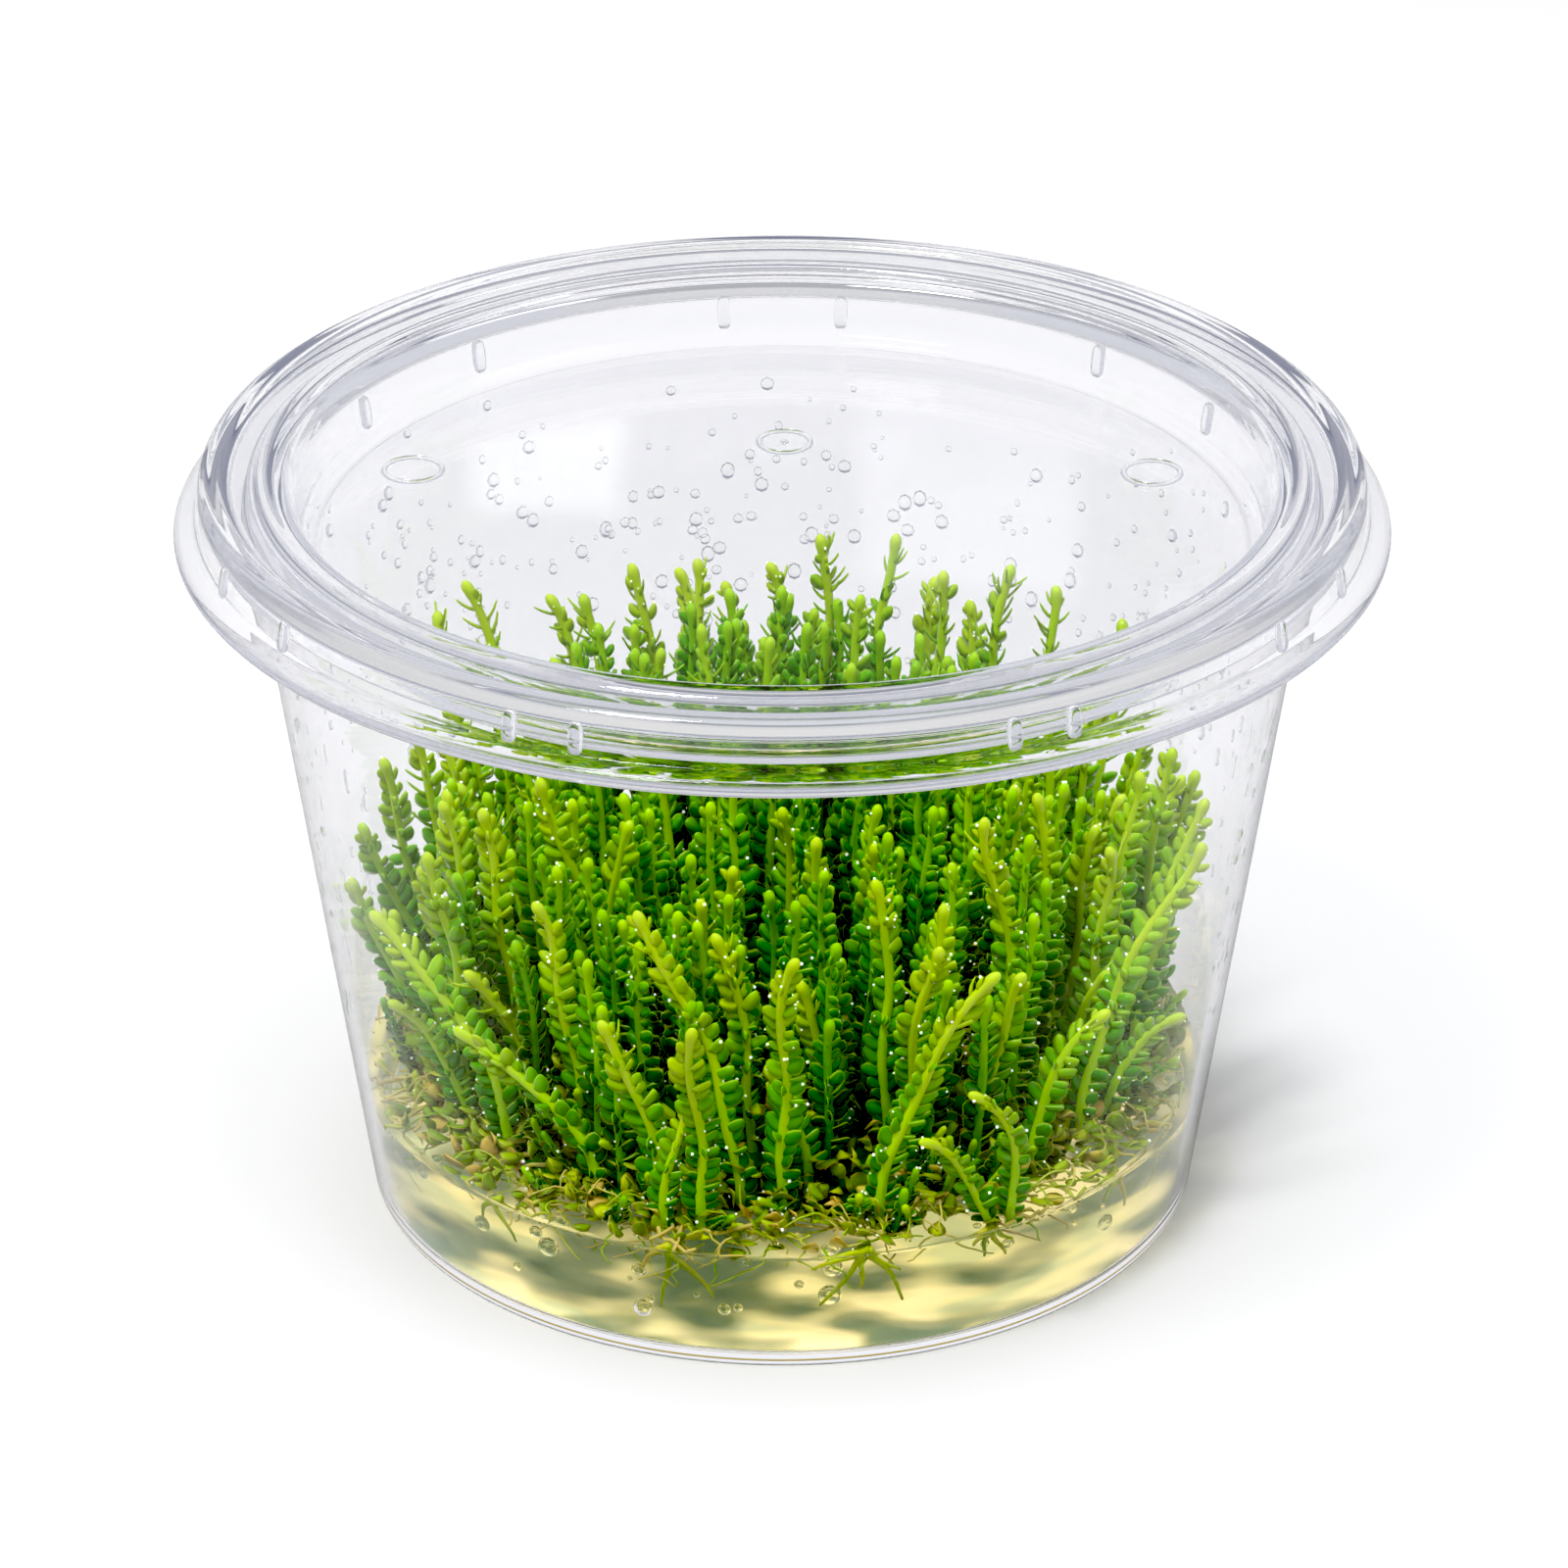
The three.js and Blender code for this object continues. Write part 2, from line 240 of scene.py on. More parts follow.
def clear_polypropylene():
    """Clarified polypropylene, injection moulded in a polished mould: water clear, faintly lavender where
    much of it lies one behind the other, with the slow ripple of the moulding that makes reflections waver.
    The rounded edge of the base has fine lines painted into its tint by height, dark, white and straw:
    painted shade and painted highlights in place of the light that the edge bends."""
    jar = bpy.context.scene.moss_jar
    tree = new_material("clear_polypropylene")
    place = add(tree, "TexCoord").outputs["Object"]
    ripple = add(tree, "TexNoise", {"Vector": place, "Scale": RIPPLE, "Detail": 0.0})
    bump = add(tree, "Bump", {"Height": ripple, "Strength": 0.05, "Distance": 0.001})
    split = add(tree, "SeparateXYZ", {0: place})
    level = add(tree, "CombineXYZ", {"X": split.outputs["X"], "Y": split.outputs["Y"]})
    radius = add(tree, "VectorMath", {0: level}, operation="LENGTH")
    outside = add(tree, "Math", {0: radius.outputs["Value"], 1: PAINTED_LINES_FROM}, operation="GREATER_THAN")
    rise = add(tree, "MapRange", {"Value": split.outputs["Z"], "From Min": 0.0, "From Max": PAINTED_LINES_HEIGHT})
    # Painted lines by height at the base's rounded edge: a dark line of painted shade, white painted
    # highlights, and grey and straw lines painted for what the edge bends into view
    lines = add(tree, "ValToRGB", {"Fac": rise}, stops=[
        (0.09, "#1C201C"), (0.15, "#FFFFFF"), (0.22, "#FFFFFF"), (0.27, "#5C5E40"), (0.4, "#8C948C"),
        (0.48, "#FFFFFF"), (0.68, "#F4F6FF"), (0.74, "#7A5C10"), (0.88, "#A08830"), (0.97, jar.plastic_tint)])
    tint = add(tree, "Mix", {
        "Factor": outside, FIRST: linear(jar.plastic_tint), SECOND: lines}, data_type="RGBA")
    glass = add(tree, "BsdfPrincipled", {
        "Base Color": tint.outputs[RESULT],
        "Roughness": 0.012,
        "IOR": jar.plastic_ior,
        "Specular Tint": (0.4, 0.4, 0.42, 1),
        "Transmission Weight": 1.0,
        "Normal": bump,
    })
    surface = let_light_through(tree, glass, (0.955, 0.955, 0.955, 1))
    add(tree, "OutputMaterial", {"Surface": surface})


def agar():
    """Set agar gel, cast in the cup: clear with a straw tint that deepens with distance, and a soft skin."""
    gel = bpy.context.scene.moss_gel
    tree = new_material("agar_gel")
    place = add(tree, "TexCoord").outputs["Object"]
    swirl = add(tree, "TexNoise", {"Vector": place, "Scale": GEL_SKIN, "Detail": 0.5, "Distortion": 0.6})
    bump = add(tree, "Bump", {"Height": swirl, "Strength": 0.2, "Distance": 0.001})
    # Patches of painted cream light and painted blue-grey shade in the gel's tint, for the light that the cup
    # bends into the gel
    flat = add(tree, "Mapping", {"Vector": place, "Scale": GEL_LIGHT_PATCH})
    cloud = add(tree, "TexNoise", {"Vector": flat, "Scale": 1.0, "Detail": 1.0})
    painted_light_patches = add(tree, "ValToRGB", {"Fac": cloud}, stops=[
        (0.38, "#B2C8C2"), (0.46, "#E6EAD2"), (0.54, "#FFFDF0")])
    glass = add(tree, "BsdfPrincipled", {
        "Base Color": painted_light_patches,
        "Roughness": 0.02,
        "IOR": gel.ior,
        "Transmission Weight": 1.0,
        "Normal": bump,
    })
    surface = let_light_through(tree, glass, (0.88, 0.87, 0.77, 1))
    depth = add(tree, "VolumeAbsorption", {"Color": linear(gel.colour), "Density": gel.density})
    add(tree, "OutputMaterial", {"Surface": surface, "Volume": depth})


def gel_cloud():
    """A veil low in the gel: nutrient salts that settled as the agar set, with cream patches of painted light
    and blue-grey patches of painted shade some 8 mm across. Its faint glow is painted light for what the
    curved wall gathers in the cream ones."""
    tree = new_material("gel_cloud")
    place = add(tree, "TexCoord").outputs["Object"]
    patch = add(tree, "TexNoise", {"Vector": place, "Scale": VEIL, "Detail": 1.0})
    # Cream patches of painted light and blue-grey patches of painted shade
    tone = add(tree, "ValToRGB", {"Fac": patch}, stops=[
        (0.4, "#94AEA6"), (0.5, "#D8D4A8"), (0.58, "#FFF4CC")])
    # Painted glow in the cream patches, for the light that the curved wall gathers
    glow = add(tree, "ValToRGB", {"Fac": patch}, stops=[(0.46, "#566452"), (0.6, "#FFEDB4")])
    veil = add(tree, "BsdfPrincipled", {
        "Base Color": tone,
        "Roughness": 0.7,
        "Alpha": 0.6,
        "Emission Color": glow,
        "Emission Strength": 1.25,
    })
    add(tree, "OutputMaterial", {"Surface": veil})


def water():
    """Drops of clean water: fully clear and mirror smooth, so each one holds a bright and a dark spot."""
    tree = new_material("water_drop")
    glass = add(tree, "BsdfPrincipled", {
        "Base Color": (1, 1, 1, 1),
        "Roughness": 0.0,
        "IOR": 1.333,
        "Transmission Weight": 1.0,
    })
    surface = let_light_through(tree, glass, (0.97, 0.97, 0.97, 1))
    add(tree, "OutputMaterial", {"Surface": surface})


def fine_dew():
    """Dew with a painted glint: each droplet's pale base colour and faint glow are a painted highlight for
    the glint it gathers from the lamps, so it reads as a white speck even in shade."""
    tree = new_material("fine_dew")
    place = add(tree, "TexCoord").outputs["Object"]
    uneven = add(tree, "TexNoise", {"Vector": place, "Scale": DROPLET})
    # Painted highlight: near-white tones, also given as the glow, stand for each droplet's glint
    tone = add(tree, "ValToRGB", {"Fac": uneven}, stops=[(0.35, "#DDF0B8"), (0.6, "#FFFFFF")])
    drop = add(tree, "BsdfPrincipled", {
        "Base Color": tone,
        "Roughness": 0.12,
        "IOR": 1.333,
        "Emission Color": tone,
        "Emission Strength": 0.75,
    })
    add(tree, "OutputMaterial", {"Surface": drop})


def living_tissue(name, stops, rim_light_colour="#FFFFFF", rim_light_share=0.0):
    """Wet moss tissue. Its colour climbs with its ripeness, from old growth to new, which for the crowded
    inner shoots also holds their painted shade;
    it wavers over 2 mm, and lightens at the thin rim of a leaf as painted light for the light that comes
    through there. The water film on it is glossy."""
    tree = new_material(name)
    ripe = add(tree, "Attribute", attribute_name="ripe")
    rim = add(tree, "Attribute", attribute_name="rim")
    place = add(tree, "TexCoord").outputs["Object"]
    patch = add(tree, "TexNoise", {"Vector": place, "Scale": TISSUE, "Detail": 2.0})
    shift = add(tree, "Math", {0: patch, 1: 0.5}, operation="SUBTRACT")
    age_and_shade = add(tree, "Math", {0: shift, 1: 0.5, 2: ripe.outputs["Fac"]}, operation="MULTIPLY_ADD")
    tone = add(tree, "ValToRGB", {"Fac": age_and_shade}, stops=stops)
    # Painted light at the thin rim of a leaf, for the light that comes through it
    edge = add(tree, "MapRange", {
        "Value": rim.outputs["Fac"], "From Min": 0.7, "From Max": 0.95, "To Min": 0.0, "To Max": rim_light_share})
    colour = add(tree, "Mix", {"Factor": edge, FIRST: tone, SECOND: linear(rim_light_colour)}, data_type="RGBA")
    skin = add(tree, "BsdfPrincipled", {
        "Base Color": colour.outputs[RESULT],
        "Roughness": 0.25,
        "IOR": 1.4,
        "Specular IOR Level": 0.1,
        "Coat Weight": 0.9,
        "Coat Roughness": 0.06,
        "Coat IOR": 1.33,
    })
    add(tree, "OutputMaterial", {"Surface": skin})


def moss_tissues():
    """Every kind of tissue, with its tones from old growth to new, and the tone and share of the painted
    light at its rim.
    """
    # Leaf blades: deep green low down, fresh yellow-green at the growing end
    living_tissue("moss_leaf", [
        (0.0, "#185408"), (0.3, "#3CA008"), (0.6, "#74CE10"), (1.0, "#D0F42A")], "#D0FC58", 0.8)
    # Stems: tougher, straw-green, and lighter than the leaves beside them
    living_tissue("moss_stem", [
        (0.0, "#34860A"), (0.3, "#78D012"), (0.6, "#B8F61C"), (1.0, "#DEFF3C")])
    # Old growth at the foot: dark olive leaves with tan, dying bits among them
    living_tissue("moss_foot", [
        (0.0, "#769416"), (0.4, "#9CC81A"), (0.75, "#D8EC30"), (1.0, "#F0CE68")], "#F0DC70", 0.8)
    # Rhizoids: hair-thin pale threads, straw to yellow-green
    living_tissue("moss_rhizoid", [
        (0.0, "#ECD27C"), (0.5, "#E2DE6A"), (0.8, "#C2E244"), (1.0, "#92CC2C")])


FINISHES = (clear_polypropylene, agar, gel_cloud, water, fine_dew, moss_tissues)


# Mesh helpers

class Gather:
    """Collects many small forms, then makes one mesh of them with the attributes of ripeness, which also
    holds painted shade, and rim.
    """

    def __init__(self):
        self.points = []
        self.faces = []
        self.slots = []
        self.ripe = []
        self.rim = []
        self.count = 0

    def put(self, points, faces, ripe=0.5, rim=0.0, slot=0):
        points = np.asarray(points, float).reshape(-1, 3)
        self.points.append(points)
        self.faces.extend((np.asarray(faces) + self.count).tolist())
        self.slots.extend([slot] * len(faces))
        self.ripe.append(np.broadcast_to(ripe, len(points)).astype(np.float32))
        self.rim.append(np.broadcast_to(rim, len(points)).astype(np.float32))
        self.count += len(points)

    def copies(self, form, origins, axes, ripe=0.5, slot=0):
        """Puts a copy of form at each origin, with its x, y and z along the rows of axes."""
        points, faces, rim = form
        placed = origins[:, None, :] + np.einsum("pk,nkc->npc", points, axes)
        starts = np.arange(len(origins)) * len(points)
        all_faces = (faces[None] + starts[:, None, None]).reshape(-1, faces.shape[1])
        ripe = np.repeat(np.broadcast_to(ripe, len(origins)), len(points))
        self.put(placed, all_faces, ripe, np.tile(rim, len(origins)), slot)

    def strand(self, path, foot, tip, sides, ripe):
        """Puts a thin stem or thread along path, with a radius at its foot and at its tip."""
        points, faces = tube(path, np.linspace(foot, tip, len(path)), sides)
        self.put(points, faces, ripe)

    def piece(self, name, materials):
        """The collected forms as one smooth object of the named materials, in metres."""
        mesh = bpy.data.meshes.new(name)
        mesh.from_pydata((np.vstack(self.points) * MM).tolist(), [], self.faces)
        mesh.polygons.foreach_set("material_index", np.array(self.slots, np.int32))
        mesh.polygons.foreach_set("use_smooth", np.ones(len(self.faces), bool))
        for attribute, values in (("ripe", self.ripe), ("rim", self.rim)):
            layer = mesh.attributes.new(attribute, "FLOAT", "POINT")
            layer.data.foreach_set("value", np.concatenate(values))
        for material in materials:
            mesh.materials.append(bpy.data.materials[material])
        mesh.update()
        made = bpy.data.objects.new(name, mesh)
        bpy.context.scene.collection.objects.link(made)
        return made

    def settle(self, name, materials, slot, *nodes):
        """Makes the piece, which rides on the one body and stands for the nodes. slot is not used."""
        piece = self.piece(name, materials)
        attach(piece, "root")
        if nodes:
            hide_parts(*nodes)


def even_angles(count):
    return [TURN * i / count for i in range(count)]


def unit(vectors):
    """Rows scaled to length one."""
    vectors = np.asarray(vectors, float)
    return vectors / np.maximum(np.linalg.norm(vectors, axis=-1, keepdims=True), 1e-12)


def quads_between(rings, around):
    """Faces of a skin over rings of points, each ring with the same number around."""
    faces = []
    for i in range(rings - 1):
        for j in range(around):
            k = (j + 1) % around
            faces.append((i * around + j, i * around + k, (i + 1) * around + k, (i + 1) * around + j))
    return faces


def halved(quads):
    """Each face of four corners as two of three."""
    return [half for a, b, c, d in quads for half in ((a, b, c), (a, c, d))]


def ball(around=10, rings=6):
    """A unit sphere as a form: points, triangles and rim."""
    points = [(0, 0, -1)]
    for i in range(1, rings):
        a = math.pi * i / rings
        for b in even_angles(around):
            points.append((math.sin(a) * math.cos(b), math.sin(a) * math.sin(b), -math.cos(a)))
    points.append((0, 0, 1))
    faces = []
    last = len(points) - 1
    for j in range(around):
        k = (j + 1) % around
        faces.append((0, 1 + k, 1 + j))
        faces.append((last, last - around + j, last - around + k))
        for i in range(rings - 2):
            a, b = 1 + i * around + j, 1 + i * around + k
            c, d = b + around, a + around
            faces += [(a, b, c), (a, c, d)]
    return np.array(points, float), np.array(faces), np.zeros(len(points))


def blade(rows, thick, curl, cup):
    """A plump leaf as a form, one long and one wide: x from its base to its tip, y across, z up from its
    back. rows are [place along, half width]; curl lifts the tip sideways and cup lifts the rims."""
    points = []
    rim = []
    for along, half in rows:
        lift = curl * along * along
        body = thick * (0.5 + 0.5 * min(1, 2 * half))
        points += [
            (along, lift - half, cup * half),
            (along, lift, body),
            (along, lift + half, cup * half),
            (along, lift, -body * 0.6),
        ]
        rim += [1, 0, 1, 0]
    points.append((1.0, curl, cup * 0.3))
    rim.append(1)
    faces = []
    for a, b, c, d in quads_between(len(rows), 4):
        faces += [(a, c, b), (a, d, c)]
    tip = len(points) - 1
    start = tip - 4
    for j in range(4):
        faces.append((start + j, tip, start + (j + 1) % 4))
    faces += [(0, 1, 2), (0, 2, 3)]
    return np.array(points, float), np.array(faces), np.array(rim, float)


FINE_ROWS = [(0.0, 0.4), (0.2, 0.47), (0.45, 0.5), (0.68, 0.45), (0.87, 0.3), (0.96, 0.15)]
PLAIN_ROWS = [(0.0, 0.36), (0.35, 0.48), (0.75, 0.42), (0.94, 0.2)]
TWIG_ROWS = [(0.0, 0.5), (0.3, 0.48), (0.6, 0.42), (0.9, 0.3)]
ROUND_ROWS = [(0.0, 0.1), (0.2, 0.4), (0.5, 0.54), (0.8, 0.42), (0.95, 0.2)]
FINE_LOBE = blade(FINE_ROWS, thick=0.3, curl=0.26, cup=0.34)
PLAIN_LOBE = blade(PLAIN_ROWS, thick=0.3, curl=0.26, cup=0.34)
TWIG = blade(TWIG_ROWS, thick=0.5, curl=1.9, cup=0.0)
ROUND_LEAF = blade(ROUND_ROWS, thick=0.12, curl=0.05, cup=0.4)


def tube(path, radii, sides=6):
    """Points and faces of a closed tube along path, with a radius at each point."""
    path = np.asarray(path, float)
    tangent = unit(np.gradient(path, axis=0))
    helper = np.array([1.0, 0.0, 0.0]) if abs(tangent[0][0]) < 0.8 else np.array([0.0, 1.0, 0.0])
    side = unit(np.cross(tangent, helper))
    other = np.cross(tangent, side)
    angles = np.arange(sides) * TURN / sides
    ring = np.cos(angles)[None, :, None] * side[:, None] + np.sin(angles)[None, :, None] * other[:, None]
    points = path[:, None] + ring * np.asarray(radii, float)[:, None, None]
    points = np.vstack([points.reshape(-1, 3), path[:1], path[-1:]])
    count = len(path) * sides
    faces = halved(quads_between(len(path), sides))
    for j in range(sides):
        k = (j + 1) % sides
        faces.append((count, k, j))
        faces.append((count + 1, count - sides + j, count - sides + k))
    return points, np.array(faces)


def square_to(along, vectors):
    """For each row of length one in along, the way square to it that points most as the vector does."""
    return unit(vectors - (vectors * along).sum(1, keepdims=True) * along)


def leaf_axes(direction, up, tilt):
    """For each leaf, rows along it, across it towards up, and out of its face, tilted about its length."""
    along = unit(direction)
    across = square_to(along, up)
    out = np.cross(along, across)
    c, s = np.cos(tilt)[:, None], np.sin(tilt)[:, None]
    return along, across * c + out * s, out * c - across * s


# Clear cup and lid

# Where the support points stand beside an arc, as a share of its reach, how much of an edge an arc may take,
# and the nearest that two points of a profile may stand, in mm
SUPPORT = 1.25
ARC_SHARE = 0.45
NEAREST = 0.004


def rounded(corners, steps=5):
    """A profile through corners of [radius, height, rounding], with arcs at the rounded ones and a support
    point either side of each arc, so that flat stretches shade flat."""
    line = []
    for i, (r, z, size) in enumerate(corners):
        here = np.array([r, z], float)
        if size == 0 or i in (0, len(corners) - 1):
            line.append(here)
            continue
        before = np.array(corners[i - 1][:2], float) - here
        after = np.array(corners[i + 1][:2], float) - here
        room = ARC_SHARE * min(np.linalg.norm(before), np.linalg.norm(after))
        to_before = before / np.linalg.norm(before)
        to_after = after / np.linalg.norm(after)
        reach = min(size, room)
        line.append(here + to_before * min(reach * SUPPORT, room))
        for k in range(steps + 1):
            t = k / steps
            a, b = here + to_before * reach, here + to_after * reach
            line.append((1 - t) ** 2 * a + 2 * t * (1 - t) * here + t * t * b)
        line.append(here + to_after * min(reach * SUPPORT, room))
    kept = line[:1]
    for point in line[1:]:
        if np.linalg.norm(point - kept[-1]) > NEAREST:
            kept.append(point)
    return np.array(kept)


def turned(gather, profile, angles, change=None, slot=0):
    """Turns a profile that starts and ends on the axis round +Z, at the given angles. change(r, z, angle)
    gives the radius and height of each point in its place."""
    inner = profile[1:-1]
    around = len(angles)
    points = []
    for r, z in inner:
        for a in angles:
            rr, zz = change(r, z, a) if change else (r, z)
            points.append((rr * math.cos(a), rr * math.sin(a), zz))
    points.append((0, 0, profile[0][1]))
    points.append((0, 0, profile[-1][1]))
    faces = halved(quads_between(len(inner), around))
    first, last = len(points) - 2, len(points) - 1
    for j in range(around):
        k = (j + 1) % around
        faces.append((first, k, j))
        faces.append((last, (len(inner) - 1) * around + j, (len(inner) - 1) * around + k))
    gather.put(points, faces, slot=slot)


# How far the mat's solid stands over the dressed gel, in mm
MAT_OVER_GEL = 0.2


def jar_sizes():
    """The cup's and lid's driving sizes in mm, read from the frame where it gives them."""
    _, cup_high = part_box("cup")
    _, lid_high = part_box("lid")
    _, gel_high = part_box("gel")
    mat_low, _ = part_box("moss_mat")
    return {
        "rim": cup_high.x / MM,
        "rim_top": cup_high.z / MM,
        "lip": lid_high.x / MM,
        "lid_top": lid_high.z / MM,
        "gel_edge": gel_high.z / MM,
        "gel_top": mat_low.z / MM - MAT_OVER_GEL,
    }


# The cup's and lid's own shape in mm: its wall's slope is in mm out for each mm up
BASE_RADIUS = 35.1
WALL_SLOPE = 0.1427
FLOOR_TOP = 0.8
WALL_TOP = 61.4
PANEL_TOP = 58.9
LID_SHEET = 0.9


def wall_outside(z):
    return BASE_RADIUS + WALL_SLOPE * z


def wall_inside(z):
    return wall_outside(z) - bpy.context.scene.moss_jar.wall


class MOSSCUP_OT_cup(bpy.types.Operator):
    """Turn the clear cup with its rounded foot and rolled rim"""

    bl_idname = "moss_cup.cup"
    bl_label = "Clear cup"

    def execute(self, context):
        size = jar_sizes()
        rim, top = size["rim"], size["rim_top"]
        inside = wall_inside(WALL_TOP)
        corners = [
            # Across the bottom, up the wall and out to the rim
            (0, 0, 0), (BASE_RADIUS - 6.0, 0, 0.4), (BASE_RADIUS + 0.05, 0, 0.6),
            (wall_outside(WALL_TOP), WALL_TOP, 0.5), (rim, WALL_TOP + 0.5, 0.35), (rim, top, 0.45),
            # In over the rim, down the wall and across the floor
            (inside + 0.1, top, 0.6), (inside, top - 1.2, 0.4), (wall_inside(FLOOR_TOP), FLOOR_TOP, 0.9),
            (0, FLOOR_TOP, 0),
        ]
        gather = Gather()
        turned(gather, rounded(corners, 8), even_angles(context.scene.moss_jar.facets))
        gather.settle("clear_cup", ["clear_polypropylene"], "clear_plastic", "cup")
        return {"FINISHED"}


# Upright ribs of the lid, as the frame has them: the middle of each pair in degrees round from the front, and
# half of what lies between. Then the height range of the rows, the wall's radius at its foot and its slope.
RECESS_RIBS = [(-128, 10.8), (126, 10.8), (180, 7.4)]
SKIRT_RIBS = [(-61, 6.6), (-22.4, 3.3), (24.6, 3.0), (61, 6.6)]
RECESS_ROW = (60.0, 62.9, 39.5, 0.136)
SKIRT_ROW = (61.8, 64.4, 48.2, -0.15)
RIB_HALF = 0.6
RIB_PROUD = 0.42
# Round moulding marks on the panel: x, y and radius. Then the radius of their section, and the half sizes of
# the nub in the middle one
PANEL_MARKS = [(-31.0, 12.1, 2.45), (0.2, 17.7, 2.2), (31.0, 11.5, 2.4)]
MARK_SECTION = 0.26
NUB = (0.42, 0.42, 0.2)


def rounded_box(around=20, rings=12, squareness=0.55):
    """A box with soft edges as a form, one out from its middle each way."""
    points, faces, rim = ball(around, rings)
    return np.sign(points) * np.abs(points) ** squareness, faces, rim


class MOSSCUP_OT_lid(bpy.types.Operator):
    """Turn the clear lid with its sunken panel, double bead, skirt, lip, ribs and moulding marks"""

    bl_idname = "moss_cup.lid"
    bl_label = "Clear lid"

    def execute(self, context):
        size = jar_sizes()
        top, lip = size["lid_top"], size["lip"]
        under = PANEL_TOP - LID_SHEET
        corners = [
            # Under the panel, up the recess and out under the beads
            (0, under, 0), (39.3, under, 0.6), (40.3, 59.1, 0.4), (40.5, 60.8, 0.3), (40.7, 62.4, 0.3),
            (41.4, 64.6, 0.35), (42.3, 64.2, 0.3), (46.1, 64.2, 0.4), (46.8, 63.9, 0.3),
            # Down inside the skirt, round the lip and up outside
            (47.1, 62.4, 0.3), (47.4, 60.9, 0.5), (49.6, 60.1, 0.2), (lip, 60.6, 0.3), (49.4, 61.3, 0.35),
            (48.2, 61.9, 0.4), (48.0, 63.2, 0.2), (47.75, 64.9, 0.4),
            # Over the two beads and the groove between them
            (47.1, top, 0.45), (45.8, top, 0.45), (45.2, 64.95, 0.35), (43.4, 64.95, 0.35),
            (42.7, top, 0.5), (41.2, top, 0.5), (40.5, 65.0, 0.5),
            # Down the recess and across the panel
            (40.15, 63.7, 0.2), (39.5, 60.0, 0.2), (39.2, PANEL_TOP + 0.6, 0.3), (38.2, PANEL_TOP, 0.35),
            (0, PANEL_TOP, 0),
        ]
        gather = Gather()
        turned(gather, rounded(corners), even_angles(context.scene.moss_jar.facets))
        self.ribs(gather, RECESS_RIBS, RECESS_ROW)
        self.ribs(gather, SKIRT_RIBS, SKIRT_ROW)
        for x, y, radius in PANEL_MARKS:
            ring = [(x + radius * math.cos(a), y + radius * math.sin(a), PANEL_TOP) for a in even_angles(64)]
            self.ring(gather, ring, MARK_SECTION)
        origin = np.array([[PANEL_MARKS[1][0], PANEL_MARKS[1][1], PANEL_TOP]])
        gather.copies(ball(12, 8), origin, np.array([np.diag(NUB)]))
        gather.settle("clear_lid", ["clear_polypropylene"], "clear_plastic", "lid")
        return {"FINISHED"}

    @staticmethod
    def ribs(gather, pairs, row):
        """Round-ended upright ribs, half sunk in the wall."""
        low, high, foot_radius, slope = row
        middle = (low + high) / 2
        radius = foot_radius + slope * (middle - low)
        origins, axes = [], []
        for centre, half in pairs:
            for degrees in (centre - half, centre + half):
                a = math.radians(degrees - 90)
                out = np.array([math.cos(a), math.sin(a), 0.0])
                side = np.array([-math.sin(a), math.cos(a), 0.0])
                up = unit(np.array([slope * out[0], slope * out[1], 1.0]))
                origins.append(out * radius + np.array([0, 0, middle]))
                face = np.cross(side, up)
                axes.append(np.stack([side * RIB_HALF, up * (high - low) / 2, face * RIB_PROUD]))
        points, faces, rim = rounded_box()
        upright = (points[:, [0, 2, 1]] * [1, 1, -1], faces, rim)
        gather.copies(upright, np.array(origins), np.array(axes))

    @staticmethod
    def ring(gather, path, radius, sides=8):
        """A closed ring of round section, half sunk in the panel."""
        centre = np.mean(path, axis=0)
        points = []
        for p in path:
            out = unit(np.array(p) - centre)
            for a in even_angles(sides):
                points.append(np.array(p) + radius * (out * math.cos(a) + np.array([0, 0, math.sin(a)])))
        quads = []
        count = len(path)
        for i in range(count):
            n = (i + 1) % count
            for j in range(sides):
                k = (j + 1) % sides
                quads.append((i * sides + j, n * sides + j, n * sides + k, i * sides + k))
        gather.put(points, halved(quads))


# Gel

# How far the veil of settled salts and painted light lies over the cup's floor, in mm
VEIL_LIFT = 0.45


def wave(x, y):
    """Low unevenness of the gel's surface, in mm."""
    return 0.16 * math.sin(0.31 * x + 1.3) * math.cos(0.27 * y - 0.4) + 0.07 * math.sin(0.83 * x - 0.61 * y)


# Bubbles that show in the photograph: x, y, height and radius
BUBBLES_SEEN = [
    (3.7, -30.6, 5.6, 0.95),
    (3.9, -31.5, 8.6, 0.85),
    (-18.3, -26.4, 7.4, 0.95),
    (-11.2, -32.5, 4.6, 0.8),
    (-23.5, -22.0, 7.0, 0.75),
    (-28.4, -17.5, 9.0, 0.6),
    (-4.6, -33.0, 5.0, 0.55),
    (25.5, -20.5, 6.0, 0.8),
]


